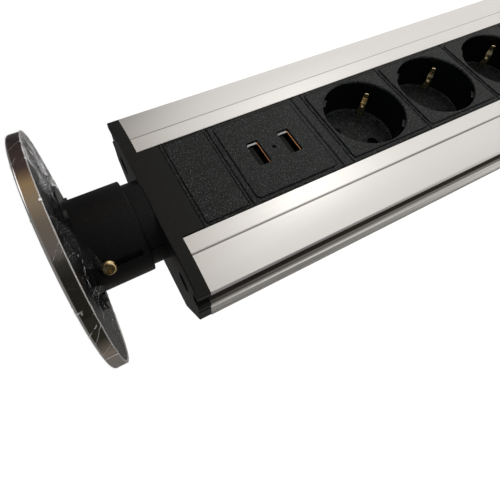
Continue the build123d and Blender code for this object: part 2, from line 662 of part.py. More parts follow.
def socket_housing(z):
    """The rear housing, with a pocket for each contact fork and a rim that the floor rests on."""
    rim_depth = FLOOR_BACK_Y - FRONT_Y
    body_depth = HOUSING_FRONT_Y - FRONT_Y
    with BuildPart() as housing:
        with BuildSketch(front_plane(z, rim_depth)):
            Circle(HOUSING_R)
        extrude(amount=-HOUSING_DEPTH)
        with BuildSketch(front_plane(z, rim_depth)):
            Circle(SHUTTER_R + 0.4)
        extrude(amount=-(body_depth - rim_depth), mode=Mode.SUBTRACT)
        with BuildSketch(front_plane(z, body_depth)):
            with PolarLocations(PIN_SPACING / 2, 2, start_angle=PIN_AXIS_DEG, rotate=False):
                Rectangle(7.4, 7.4)
        extrude(amount=-HOUSING_DEPTH, mode=Mode.SUBTRACT)
        with BuildSketch(front_plane(z, rim_depth + BOSS_LENGTH)):
            with PolarLocations((LUG_CIRCLE + HOUSING_R - 1.5) / 2, 2, start_angle=PIN_AXIS_DEG):
                Rectangle(LUG_CIRCLE - HOUSING_R + 1.5, 2 * LUG_R)
            with PolarLocations(LUG_CIRCLE, 2, start_angle=PIN_AXIS_DEG):
                Circle(LUG_R)
                Circle(BOARD_SCREW_R + 0.25, mode=Mode.SUBTRACT)
        extrude(amount=-LUG_THICKNESS)
    return housing.part


def socket_screws(z):
    """The two screws that hold a rear housing on the bosses of its face."""
    head_plane = front_plane(z, WELL_DEPTH + FLOOR_THICKNESS + BOSS_LENGTH + LUG_THICKNESS)
    with BuildPart() as screws:
        with BuildSketch(head_plane):
            with PolarLocations(LUG_CIRCLE, 2, start_angle=PIN_AXIS_DEG):
                Circle(1.7)
        extrude(amount=-1.2)
        with BuildSketch(head_plane):
            with PolarLocations(LUG_CIRCLE, 2, start_angle=PIN_AXIS_DEG):
                Circle(BOARD_SCREW_R)
        extrude(amount=LUG_THICKNESS + BOARD_SCREW_LENGTH - 0.5)
    return screws.part




def earth_clip(z):
    """One bent strip per socket: a base across the back and two sprung arms beside the plug."""
    outward = (cos(radians(CLIP_AXIS_DEG)), 0, sin(radians(CLIP_AXIS_DEG)))
    normal = (-sin(radians(CLIP_AXIS_DEG)), 0, cos(radians(CLIP_AXIS_DEG)))
    base_y = BRIDGE_FRONT_Y + CLIP_METAL / 2
    foot_r = CLIP_ARM[0][0]
    arm = [(r, FRONT_Y + depth) for r, depth in CLIP_ARM]
    path = [(-r, y) for r, y in reversed(arm)] + [(-foot_r, base_y), (foot_r, base_y)] + arm
    with BuildPart() as clip:
        with BuildSketch(Plane(origin=(0, 0, z), x_dir=outward, z_dir=normal)):
            with BuildLine():
                FilletPolyline(*path, radius=0.9)
            trace(line_width=CLIP_METAL)
        extrude(amount=CLIP_WIDTH / 2, both=True)
    return clip.part


for number, centre_z in enumerate(SOCKET_Z, start=1):
    write(socket_face(centre_z), f"socket_face_{number}")
    write(socket_shutter(centre_z), f"socket_shutter_{number}")
    write(socket_housing(centre_z), f"socket_rear_housing_{number}")
    write(socket_screws(centre_z), f"socket_screws_{number}")
    write(earth_clip(centre_z), f"earth_clip_{number}")


# Busbars: stamped strips that run up behind the sockets and carry a fork for every pin


def pin_busbar(side):
    """The strip on one side of the sockets, with two leaves that grip the pin at each socket."""
    x = side * PIN_OFFSET
    bar_top = SOCKET_Z[0] + side * PIN_OFFSET + FORK_GAP / 2 + FORK_METAL
    with BuildPart() as bar:
        with BuildSketch(Plane.XY.offset(BAR_BOTTOM)):
            with Locations((x, BAR_FRONT_Y + STRIP_METAL / 2)):
                Rectangle(BAR_WIDTH, STRIP_METAL)
        extrude(amount=bar_top - BAR_BOTTOM)
        for socket_z in SOCKET_Z:
            pin_z = socket_z + side * PIN_OFFSET
            with BuildSketch(Plane(origin=(x, BAR_FRONT_Y, pin_z), x_dir=(1, 0, 0), z_dir=(0, -1, 0))):
                for leaf in (-1, 1):
                    with Locations((0, leaf * (FORK_GAP + FORK_METAL) / 2)):
                        Rectangle(FORK_WIDTH, FORK_METAL)
            extrude(amount=BAR_FRONT_Y - FORK_FRONT_Y)
    return bar.part


write(pin_busbar(1), "live_busbar")
write(pin_busbar(-1), "neutral_busbar")

with BuildPart() as earth_busbar:
    with BuildSketch(Plane.XY.offset(BAR_BOTTOM)):
        with Locations((0, EARTH_BAR_Y + STRIP_METAL / 2)):
            Rectangle(BAR_WIDTH, STRIP_METAL)
    extrude(amount=SOCKET_Z[0] + 6.0 - BAR_BOTTOM)
write(earth_busbar.part, "earth_busbar")


# Terminal block on the pillars of the bottom cap, with a screw for each pole

with BuildPart() as terminal_block:
    with BuildSketch(Plane.XY.offset(BLOCK_BOTTOM)):
        with Locations((0, (BLOCK_FRONT_Y + BLOCK_BACK_Y) / 2)):
            RectangleRounded(2 * BLOCK_HALF, BLOCK_BACK_Y - BLOCK_FRONT_Y, 1.0)
    extrude(amount=BLOCK_TOP - BLOCK_BOTTOM)
    with BuildSketch(Plane.XY.offset(BLOCK_TOP)):
        for x, y in POLES:
            with Locations((x, y + STRIP_METAL / 2)):
                Rectangle(BAR_WIDTH + 0.3, STRIP_METAL + 0.3)
    extrude(amount=-(BLOCK_TOP - BAR_BOTTOM + 0.1), mode=Mode.SUBTRACT)
    with BuildSketch(Plane.XY.offset(BLOCK_BOTTOM)):
        for x, y in POLES:
            with Locations((x, y + STRIP_METAL / 2)):
                Circle(1.7)
    extrude(amount=4.0, mode=Mode.SUBTRACT)
    for x, y in POLES:
        with BuildSketch(Plane(origin=(x, BLOCK_FRONT_Y, POLE_SCREW_Z), x_dir=(1, 0, 0), z_dir=(0, -1, 0))):
            Circle(1.45)
        extrude(amount=-(y - BLOCK_FRONT_Y), mode=Mode.SUBTRACT)
write(terminal_block.part, "terminal_block")

with BuildPart() as terminal_screws:
    for x, y in POLES:
        screw_plane = Plane(origin=(x, BLOCK_FRONT_Y, POLE_SCREW_Z), x_dir=(1, 0, 0), z_dir=(0, -1, 0))
        with BuildSketch(screw_plane):
            Circle(1.4)
        extrude(amount=-(y - BLOCK_FRONT_Y))
        with BuildSketch(screw_plane):
            Circle(2.4)
        extrude(amount=1.4)
        with BuildSketch(screw_plane.offset(1.4)):
            Rectangle(4.0, 0.7)
        extrude(amount=-0.8, mode=Mode.SUBTRACT)
write(terminal_screws.part, "terminal_screws")



def bend_radii(points):
    """The largest easy radius at each inner point of a route, worked out from the runs beside it."""
    places = [Vector(*point) for point in points]
    radii = []
    for before, here, after in zip(places, places[1:], places[2:]):
        turn = radians((here - before).get_angle(after - here))
        radii.append(0.45 * min((here - before).length, (after - here).length) / tan(turn / 2))
    return radii


with BuildPart() as supply_wires:
    wire_end = (WIRE_ROUTE[-1][0], WIRE_ROUTE[-1][1], USB_Z - SUPPLY_HALF)
    for side in (-1, 1):
        run = [(side * x, FRONT_Y + depth, z) for x, depth, z in [*WIRE_ROUTE, wire_end]]
        with BuildLine() as route:
            FilletPolyline(*run, radius=bend_radii(run))
        with BuildSketch(Plane(origin=run[0], z_dir=(0, 0, 1))):
            Circle(SUPPLY_WIRE_R)
        sweep(path=route.line)
write(supply_wires.part, "usb_supply_wires")


# Cable inlet: rubber bushing in the bottom plate and a clamp bar that grips the cord
with BuildPart() as cable_bushing:
    with BuildSketch():
        with Locations((0, INLET_Y)):
            Circle(BUSHING_R - 0.05)
    extrude(amount=END_PLATE)
    with BuildSketch():
        with Locations((0, INLET_Y)):
            Circle(BUSHING_FLANGE_R - 0.05)
    extrude(amount=BUSHING_FLANGE)
    with BuildSketch():
        with Locations((0, INLET_Y)):
            Circle(CABLE_R)
    extrude(amount=END_PLATE, mode=Mode.SUBTRACT)
write(cable_bushing.part, "cable_bushing")

with BuildPart() as cord_clamp:
    with BuildSketch(Plane.XY.offset(END_PLATE + 1.0)):
        with Locations((0, CLAMP_BACK_Y - CLAMP_THICKNESS / 2)):
            RectangleRounded(2 * CLAMP_HALF, CLAMP_THICKNESS, 1.0)
        with Locations((0, INLET_Y)):
            Circle(CABLE_R + 0.6, mode=Mode.SUBTRACT)
    extrude(amount=CLAMP_HEIGHT)
    with BuildSketch(Plane(origin=(0, CLAMP_BACK_Y, CLAMP_SCREW_Z), x_dir=(1, 0, 0), z_dir=(0, 1, 0))):
        with Locations((-CLAMP_SCREW_X, 0), (CLAMP_SCREW_X, 0)):
            Circle(1.6)
    extrude(amount=-CLAMP_THICKNESS, mode=Mode.SUBTRACT)
write(cord_clamp.part, "cord_clamp")

with BuildPart() as clamp_screws:
    for side in (-1, 1):
        head_plane = Plane(origin=(side * CLAMP_SCREW_X, CLAMP_BACK_Y - CLAMP_THICKNESS, CLAMP_SCREW_Z),
                           x_dir=(1, 0, 0), z_dir=(0, -1, 0))
        with BuildSketch(head_plane):
            Circle(2.6)
        extrude(amount=1.6)
        with BuildSketch(head_plane):
            Circle(SCREW_SHANK_R - 0.05)
        extrude(amount=-(SADDLE_FRONT_Y + SADDLE_THICKNESS - CLAMP_BACK_Y + CLAMP_THICKNESS))
        with BuildSketch(head_plane.offset(1.6)):
            Rectangle(3.4, 0.8)
            Rectangle(0.8, 3.4)
        extrude(amount=-0.9, mode=Mode.SUBTRACT)
write(clamp_screws.part, "cord_clamp_screws")


# Neck: a cup screwed to the top end cap, with the latch and the lift spring inside it

with BuildPart() as neck_inner_tube:
    with BuildSketch(Plane.XY.offset(CAP_PLATE_TOP)):
        Circle(TUBE_R)
    extrude(amount=TUBE_TOP - CAP_PLATE_TOP)
    with BuildSketch(Plane.XY.offset(FOOT_TOP)):
        Circle(TUBE_R - TUBE_WALL)
    extrude(amount=TUBE_TOP - FOOT_TOP, mode=Mode.SUBTRACT)
    with BuildSketch(Plane.XY.offset(CAP_PLATE_TOP)):
        with PolarLocations(FOOT_SCREW_CIRCLE, FOOT_SCREWS, start_angle=90):
            Circle(FOOT_SCREW_R + 0.05)
    extrude(amount=FOOT_THICKNESS, mode=Mode.SUBTRACT)
    with BuildSketch(Plane.XY.offset(CAP_PLATE_TOP)):
        with PolarLocations(TUBE_R, 1, start_angle=SEAM_ANGLE):
            Rectangle(0.8, 0.7)
    extrude(amount=TUBE_TOP - CAP_PLATE_TOP, mode=Mode.SUBTRACT)
    with BuildSketch(radial_plane(GUIDE_ANGLE, GUIDE_Z)):
        Circle(GUIDE_SHANK_R + 0.05)
    extrude(amount=TUBE_R + 1.0, both=True, mode=Mode.SUBTRACT)
write(neck_inner_tube.part, "neck_inner_tube")

with BuildPart() as neck_foot_screws:
    with BuildSketch(Plane.XY.offset(PROFILE_TOP - 1.8)):
        with PolarLocations(FOOT_SCREW_CIRCLE, FOOT_SCREWS, start_angle=90):
            Circle(2.6)
    extrude(amount=1.8)
    with BuildSketch(Plane.XY.offset(PROFILE_TOP)):
        with PolarLocations(FOOT_SCREW_CIRCLE, FOOT_SCREWS, start_angle=90):
            Circle(FOOT_SCREW_R)
    extrude(amount=END_PLATE + FOOT_THICKNESS - 0.2)
write(neck_foot_screws.part, "neck_foot_screws")

with BuildPart() as latch_housing:
    with BuildSketch(Plane.XY.offset(FOOT_TOP)):
        Circle(LATCH_R)
    extrude(amount=LATCH_TOP - FOOT_TOP)
    with BuildSketch(Plane.XY.offset(LATCH_TOP)):
        Circle(PIN_BORE_R)
    extrude(amount=-(LATCH_TOP - FOOT_TOP - 2.0), mode=Mode.SUBTRACT)
    with BuildSketch(Plane(origin=(0, -LATCH_R, FOOT_TOP + 9.0), x_dir=(1, 0, 0), z_dir=(0, -1, 0))):
        RectangleRounded(3.0, 10.0, 1.0)
    extrude(amount=-(LATCH_R - 1.0), mode=Mode.SUBTRACT)
write(latch_housing.part, "latch_housing")


with BuildPart() as lift_spring:
    spring_height = SPRING_TOP - SPRING_BOTTOM - 2 * SPRING_WIRE_R
    with BuildLine() as coil:
        Helix(pitch=spring_height / SPRING_TURNS, height=spring_height, radius=SPRING_R,
              center=(0, 0, SPRING_BOTTOM + SPRING_WIRE_R))
    with BuildSketch(Plane(origin=coil.line @ 0, z_dir=coil.line % 0)):
        Circle(SPRING_WIRE_R)
    sweep(path=coil.line, is_frenet=True)
write(lift_spring.part, "lift_spring")

with BuildPart() as guide_screws:
    for side in (0, 180):
        seat = radial_plane(GUIDE_ANGLE + side, GUIDE_Z).offset(SLEEVE_R + 0.15)
        with BuildSketch(seat):
            Circle(GUIDE_HEAD_R)
        extrude(amount=GUIDE_HEAD_HEIGHT)
        head_top = faces(Select.LAST).sort_by(lambda face: (face.center() - seat.origin).dot(seat.z_dir))[-1]
        fillet(head_top.edges(), GUIDE_HEAD_DOME)
        with BuildSketch(seat):
            Circle(GUIDE_SHANK_R)
        extrude(amount=-(SLEEVE_R + 0.15 - TUBE_R + TUBE_WALL))
        with BuildSketch(seat.offset(GUIDE_HEAD_HEIGHT)):
            Rectangle(3.2, 0.7)
            Rectangle(0.7, 3.2)
        extrude(amount=-0.9, mode=Mode.SUBTRACT)
write(guide_screws.part, "guide_screws")


# Moving cap: sleeve with guide slots, backing, steel cap, screws, latch pin and protective film

with BuildPart() as neck_sleeve:
    with BuildSketch(Plane.XY.offset(SLEEVE_BOTTOM)):
        Circle(SLEEVE_R)
    extrude(amount=BACKING_BOTTOM - SLEEVE_BOTTOM)
    with BuildSketch(Plane.XY.offset(BACKING_BOTTOM)):
        Circle(FLANGE_R)
    extrude(amount=-FLANGE_THICKNESS)
    with BuildSketch(Plane.XY.offset(SLEEVE_BOTTOM)):
        Circle(TUBE_R + SLEEVE_CLEARANCE)
    extrude(amount=BACKING_BOTTOM - SLEEVE_BOTTOM, mode=Mode.SUBTRACT)
    with BuildSketch(radial_plane(GUIDE_ANGLE, (SLOT_TOP + SLOT_BOTTOM) / 2)):
        SlotOverall(SLOT_TOP - SLOT_BOTTOM, SLOT_WIDTH, rotation=90)
    extrude(amount=SLEEVE_R + 1.0, both=True, mode=Mode.SUBTRACT)
    with BuildSketch(Plane.XY.offset(BACKING_BOTTOM)):
        with PolarLocations(CAP_SCREW_CIRCLE, 4):
            Circle(CAP_SCREW_R + 0.2)
    extrude(amount=-FLANGE_THICKNESS, mode=Mode.SUBTRACT)
    chamfer(edges().filter_by(GeomType.CIRCLE).group_by(Axis.Z)[0].sort_by(SortBy.RADIUS)[-1:], SLEEVE_EDGE)
write(neck_sleeve.part, "neck_sleeve")

with BuildPart() as cap_backing:
    with BuildSketch(Plane.XY.offset(BACKING_BOTTOM)):
        Circle(CAP_R - CAP_METAL - 0.1)
    extrude(amount=BACKING_TOP - BACKING_BOTTOM)
    with BuildSketch(Plane.XY.offset(BACKING_BOTTOM)):
        with PolarLocations(CAP_SCREW_CIRCLE, 4):
            Circle(CAP_SCREW_R + 0.05)
    extrude(amount=2.6, mode=Mode.SUBTRACT)
write(cap_backing.part, "cap_backing")

with BuildPart() as cap_disc:
    with BuildSketch(Plane.XY.offset(CAP_BOTTOM)):
        Circle(CAP_R)
    extrude(amount=CAP_THICKNESS)
    fillet(edges().group_by(Axis.Z)[-1], 1.0)
    with BuildSketch(Plane.XY.offset(CAP_BOTTOM)):
        Circle(CAP_R - CAP_METAL)
    extrude(amount=CAP_THICKNESS - CAP_METAL, mode=Mode.SUBTRACT)
    fillet(edges().group_by(Axis.Z)[0], 0.3)
write(cap_disc.part, "cap_disc")

with BuildPart() as cap_screws:
    with BuildSketch(Plane.XY.offset(BACKING_BOTTOM - FLANGE_THICKNESS)):
        with PolarLocations(CAP_SCREW_CIRCLE, 4):
            Circle(2.0)
    extrude(amount=-1.2)
    with BuildSketch(Plane.XY.offset(BACKING_BOTTOM - FLANGE_THICKNESS)):
        with PolarLocations(CAP_SCREW_CIRCLE, 4):
            Circle(CAP_SCREW_R)
    extrude(amount=FLANGE_THICKNESS + 2.4)
write(cap_screws.part, "cap_screws")

with BuildPart() as latch_pin:
    with BuildSketch(Plane.XY.offset(BACKING_BOTTOM)):
        Circle(5.0)
    extrude(amount=-1.5)
    with BuildSketch(Plane.XY.offset(BACKING_BOTTOM - 1.5)):
        Circle(PIN_R)
    extrude(amount=-(BACKING_BOTTOM - 1.5 - FOOT_TOP - 4.0))
write(latch_pin.part, "latch_pin")

with BuildPart() as protective_film:
    film_low = CAP_BOTTOM - FILM_GAP - FILM_THICKNESS
    film_high = CAP_TOP + FILM_GAP + FILM_THICKNESS
    film_r = CAP_R + FILM_GAP + FILM_THICKNESS
    with BuildSketch(Plane.XZ):
        with BuildLine():
            inner_low = film_low + FILM_THICKNESS
            inner_high = film_high - FILM_THICKNESS
            inner_r = film_r - FILM_THICKNESS
            Polyline((FILM_INNER_R, film_low), (film_r, film_low), (film_r, film_high), (0, film_high),
                     (0, inner_high), (inner_r, inner_high), (inner_r, inner_low), (FILM_INNER_R, inner_low),
                     close=True)
        make_face()
    revolve(axis=Axis.Z)
write(protective_film.part, "protective_film")
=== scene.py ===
import json
from math import atan2, cos, degrees, pi, radians, sin

import bpy
from mathutils import Matrix, Vector, noise


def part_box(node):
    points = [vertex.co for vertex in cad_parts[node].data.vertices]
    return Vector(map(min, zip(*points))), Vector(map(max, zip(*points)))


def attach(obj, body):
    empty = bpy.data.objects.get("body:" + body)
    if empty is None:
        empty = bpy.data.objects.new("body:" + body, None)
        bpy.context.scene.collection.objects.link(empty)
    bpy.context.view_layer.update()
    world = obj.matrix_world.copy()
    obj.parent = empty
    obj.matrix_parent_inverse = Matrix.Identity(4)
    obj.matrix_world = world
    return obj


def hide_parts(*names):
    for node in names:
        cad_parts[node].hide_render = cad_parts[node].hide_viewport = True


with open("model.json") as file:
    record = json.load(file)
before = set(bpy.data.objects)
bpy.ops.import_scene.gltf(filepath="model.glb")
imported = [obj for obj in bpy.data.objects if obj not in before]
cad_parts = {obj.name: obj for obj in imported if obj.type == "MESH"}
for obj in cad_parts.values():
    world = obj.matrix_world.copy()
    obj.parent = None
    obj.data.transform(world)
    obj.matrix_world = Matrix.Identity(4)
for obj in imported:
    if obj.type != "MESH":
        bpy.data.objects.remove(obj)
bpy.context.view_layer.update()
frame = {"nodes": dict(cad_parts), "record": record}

nodes = frame["nodes"]
MM = 0.001
FRONT_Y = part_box("extrusion")[0].y
CAP_LOW, CAP_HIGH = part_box("cap_disc")
FILM_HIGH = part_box("protective_film")[1]
PORT_FRONT_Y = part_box("usb_port_shells")[0].y
UNDERSIDE_Z = CAP_LOW.z / MM - 0.12

# The profile's side channels, by depth behind its front and by distance from its middle, and the
# step along each side of its front, in metres. The aluminium gets painted shade in both
CHANNEL_FROM = 0.0050
CHANNEL_TO = 0.0150
CHANNEL_FLOOR = 0.0385
STEP_ASIDE = 0.0312

bpy.ops.object.select_all(action="DESELECT")


# Materials: shared node groups first, each used with its own values

def group_with(name, inputs, outputs):
    """An empty shader node group with named float or colour sockets."""
    group = bpy.data.node_groups.new(name, "ShaderNodeTree")
    for label, kind, value in inputs:
        socket = group.interface.new_socket(label, in_out="INPUT", socket_type=kind)
        socket.default_value = value
    for label, kind in outputs:
        group.interface.new_socket(label, in_out="OUTPUT", socket_type=kind)
    return group, group.nodes.new("NodeGroupInput"), group.nodes.new("NodeGroupOutput")


def node(tree, kind, **settings):
    """Adds a node. Settings with a capital are its input sockets, the others its properties."""
    made = tree.nodes.new(kind)
    for name, value in settings.items():
        if name[0].isupper():
            made.inputs[name.replace("_", " ")].default_value = value
        else:
            setattr(made, name, value)
    return made


def link(tree, source, target):
    tree.links.new(source, target)


def ramp_between(tree, value, low, high):
    """A 0 to 1 mask of a value between two limits."""
    made = node(tree, "ShaderNodeMapRange", interpolation_type="SMOOTHSTEP",
                From_Min=low, From_Max=high)
    link(tree, value, made.inputs["Value"])
    return made.outputs["Result"]


def reckon(tree, operation, first, second=None):
    """A math node on sockets or plain numbers."""
    made = node(tree, "ShaderNodeMath", operation=operation)
    for socket, value in zip(made.inputs, (first, second)):
        if isinstance(value, float):
            socket.default_value = value
        elif value is not None:
            link(tree, value, socket)
    return made.outputs[0]


def multiply(tree, first, second):
    return reckon(tree, "MULTIPLY", first, second)


def total(tree, first, second):
    return reckon(tree, "ADD", first, second)


def object_place(tree):
    """The position on the piece, which stays put when a joint moves the piece."""
    return node(tree, "ShaderNodeTexCoord").outputs["Object"]


def split_axes(tree, vector):
    """The X, Y and Z of a vector."""
    made = node(tree, "ShaderNodeSeparateXYZ")
    link(tree, vector, made.inputs[0])
    return made.outputs


def build_spark_texture():
    """The eroded-mould texture of the black plastics: fine grains, with a few bright flecks."""
    group, source, target = group_with(
        "spark_texture",
        [("Grain", "NodeSocketFloat", 2200.0), ("Fleck Share", "NodeSocketFloat", 0.3)],
        [("Height", "NodeSocketFloat"), ("Flecks", "NodeSocketFloat")])
    place = object_place(group)
    fine = node(group, "ShaderNodeTexNoise", Detail=3.0, Roughness=0.62)
    link(group, place, fine.inputs["Vector"])
    link(group, source.outputs["Grain"], fine.inputs["Scale"])
    cells = node(group, "ShaderNodeTexVoronoi", feature="F1", Randomness=1.0)
    link(group, place, cells.inputs["Vector"])
    link(group, multiply(group, source.outputs["Grain"], 0.8), cells.inputs["Scale"])
    pick = node(group, "ShaderNodeSeparateColor")
    link(group, cells.outputs["Color"], pick.inputs["Color"])
    near = ramp_between(group, cells.outputs["Distance"], 0.34, 0.1)
    chosen = reckon(group, "LESS_THAN", pick.outputs["Red"], source.outputs["Fleck Share"])
    mottle = ramp_between(group, fine.outputs["Fac"], 0.52, 0.7)
    flecks = total(group, multiply(group, near, chosen), multiply(group, mottle, 0.55))
    height = total(group, fine.outputs["Fac"], multiply(group, near, 0.35))
    link(group, height, target.inputs["Height"])
    link(group, flecks, target.inputs["Flecks"])
    return group


def build_handling_marks():
    """Faint smears and hairline scratches that handling leaves on a smooth surface."""
    group, source, target = group_with(
        "handling_marks",
        [("Smear Size", "NodeSocketFloat", 45.0), ("Scratch Size", "NodeSocketFloat", 120.0)],
        [("Smears", "NodeSocketFloat"), ("Scratches", "NodeSocketFloat")])
    place = object_place(group)
    smear = node(group, "ShaderNodeTexNoise", Detail=5.0, Roughness=0.58, Distortion=0.7)
    link(group, place, smear.inputs["Vector"])
    link(group, source.outputs["Smear Size"], smear.inputs["Scale"])
    warped = node(group, "ShaderNodeTexNoise", Scale=30.0, Detail=1.0)
    link(group, place, warped.inputs["Vector"])
    bent = node(group, "ShaderNodeMixRGB", blend_type="MIX", Fac=0.02)
    link(group, place, bent.inputs["Color1"])
    link(group, warped.outputs["Color"], bent.inputs["Color2"])
    cracks = node(group, "ShaderNodeTexVoronoi", feature="DISTANCE_TO_EDGE", Randomness=1.0)
    link(group, bent.outputs["Color"], cracks.inputs["Vector"])
    link(group, source.outputs["Scratch Size"], cracks.inputs["Scale"])
    thin = ramp_between(group, cracks.outputs["Distance"], 0.012, 0.0)
    sparse = ramp_between(group, smear.outputs["Fac"], 0.5, 0.62)
    link(group, smear.outputs["Fac"], target.inputs["Smears"])
    link(group, multiply(group, thin, sparse), target.inputs["Scratches"])
    return group


def build_drawn_lines():
    """Lines along the column that the die leaves in an extrusion, under the anodised grain."""
    group, source, target = group_with(
        "drawn_lines",
        [("Across", "NodeSocketFloat", 1400.0), ("Along", "NodeSocketFloat", 5.0)],
        [("Lines", "NodeSocketFloat"), ("Grain", "NodeSocketFloat")])
    place = object_place(group)
    stretch = node(group, "ShaderNodeCombineXYZ")
    for axis, label in (("X", "Across"), ("Y", "Across"), ("Z", "Along")):
        link(group, source.outputs[label], stretch.inputs[axis])
    scaled = node(group, "ShaderNodeVectorMath", operation="MULTIPLY")
    link(group, place, scaled.inputs[0])
    link(group, stretch.outputs["Vector"], scaled.inputs[1])
    lines = node(group, "ShaderNodeTexNoise", Scale=1.0, Detail=4.0, Roughness=0.7)
    link(group, scaled.outputs["Vector"], lines.inputs["Vector"])
    grain = node(group, "ShaderNodeTexNoise", Scale=5200.0, Detail=2.0)
    link(group, place, grain.inputs["Vector"])
    link(group, lines.outputs["Fac"], target.inputs["Lines"])
    link(group, grain.outputs["Fac"], target.inputs["Grain"])
    return group


def build_film_folds():
    """Film drawn round the cap: thin folds across the rim and towards the neck, slack between,
    small glints and the flat facets of crumpled film."""
    group, source, target = group_with(
        "film_folds",
        [("Folds Round", "NodeSocketFloat", 8.0), ("Slant", "NodeSocketFloat", 210.0)],
        [("Folds", "NodeSocketFloat"), ("Slack", "NodeSocketFloat"),
         ("Glints", "NodeSocketFloat"), ("Facets", "NodeSocketFloat")])
    place = object_place(group)
    split = split_axes(group, place)
    turn = reckon(group, "ARCTAN2", split["Y"], split["X"])
    flat = node(group, "ShaderNodeVectorMath", operation="MULTIPLY")
    link(group, place, flat.inputs[0])
    flat.inputs[1].default_value = (1.0, 1.0, 0.0)
    reach = node(group, "ShaderNodeVectorMath", operation="LENGTH")
    link(group, flat.outputs["Vector"], reach.inputs[0])
    slack = node(group, "ShaderNodeTexNoise", Scale=95.0, Detail=3.0, Roughness=0.6, Distortion=0.4)
    link(group, place, slack.inputs["Vector"])
    along = node(group, "ShaderNodeCombineXYZ")
    link(group, multiply(group, turn, 2.0), along.inputs["X"])
    height = multiply(group, split["Z"], source.outputs["Slant"])
    depth = multiply(group, reach.outputs["Value"], 150.0)
    round_it = multiply(group, turn, source.outputs["Folds Round"])
    slope = total(group, total(group, height, depth), round_it)
    link(group, total(group, slope, multiply(group, slack.outputs["Fac"], 0.8)), along.inputs["Y"])
    lines = node(group, "ShaderNodeTexNoise", Scale=1.0, Detail=0.0, Roughness=0.4)
    link(group, along.outputs["Vector"], lines.inputs["Vector"])
    away = reckon(group, "ABSOLUTE", total(group, lines.outputs["Fac"], -0.5))
    thin = ramp_between(group, away, 0.014, 0.0)
    some = ramp_between(group, slack.outputs["Fac"], 0.42, 0.54)
    link(group, multiply(group, thin, some), target.inputs["Folds"])
    link(group, slack.outputs["Fac"], target.inputs["Slack"])
    cells = node(group, "ShaderNodeTexVoronoi", feature="F1", Scale=330.0, Randomness=1.0)
    link(group, place, cells.inputs["Vector"])
    pick = node(group, "ShaderNodeSeparateColor")
    link(group, cells.outputs["Color"], pick.inputs["Color"])
    chosen = reckon(group, "LESS_THAN", pick.outputs["Green"], 0.06)
    dots = ramp_between(group, cells.outputs["Distance"], 0.26, 0.12)
    link(group, multiply(group, dots, chosen), target.inputs["Glints"])
    bent = node(group, "ShaderNodeMixRGB", blend_type="MIX", Fac=0.012)
    link(group, place, bent.inputs["Color1"])
    link(group, slack.outputs["Color"], bent.inputs["Color2"])
    pieces = node(group, "ShaderNodeTexVoronoi", feature="F1", Scale=210.0, Randomness=1.0)
    link(group, bent.outputs["Color"], pieces.inputs["Vector"])
    shade = node(group, "ShaderNodeSeparateColor")
    link(group, pieces.outputs["Color"], shade.inputs["Color"])
    link(group, shade.outputs["Red"], target.inputs["Facets"])
    return group


SPARK = build_spark_texture()
MARKS = build_handling_marks()
DRAWN = build_drawn_lines()
FOLDS = build_film_folds()


def use(tree, group, **values):
    """Places a shared group in a material with that material's own values."""
    made = tree.nodes.new("ShaderNodeGroup")
    made.node_tree = group
    for label, value in values.items():
        made.inputs[label.replace("_", " ")].default_value = value
    return made.outputs


def new_finish(name, **settings):
    """A material whose shader gets plain numbers on its own sockets."""
    finish = bpy.data.materials.new(name)
    finish.use_nodes = True
    tree = finish.node_tree
    tree.nodes.clear()
    out = tree.nodes.new("ShaderNodeOutputMaterial")
    shader = node(tree, "ShaderNodeBsdfPrincipled", **settings)
    link(tree, shader.outputs["BSDF"], out.inputs["Surface"])
    return finish, tree, shader


def tint(tree, mask, low, high, target):
    """A colour between two by a mask."""
    made = node(tree, "ShaderNodeMixRGB", Color1=(*low, 1), Color2=(*high, 1))
    link(tree, mask, made.inputs["Fac"])
    link(tree, made.outputs["Color"], target)
    return made


def vary(tree, mask, low, high, target):
    """A number between two by a mask."""
    made = node(tree, "ShaderNodeMapRange", To_Min=low, To_Max=high)
    link(tree, mask, made.inputs["Value"])
    link(tree, made.outputs["Result"], target)


def bumped(tree, height, strength, distance, target):
    """Feeds a height to the shader's normal."""
    made = node(tree, "ShaderNodeBump", Strength=strength, Distance=distance)
    link(tree, height, made.inputs["Height"])
    link(tree, made.outputs["Normal"], target)


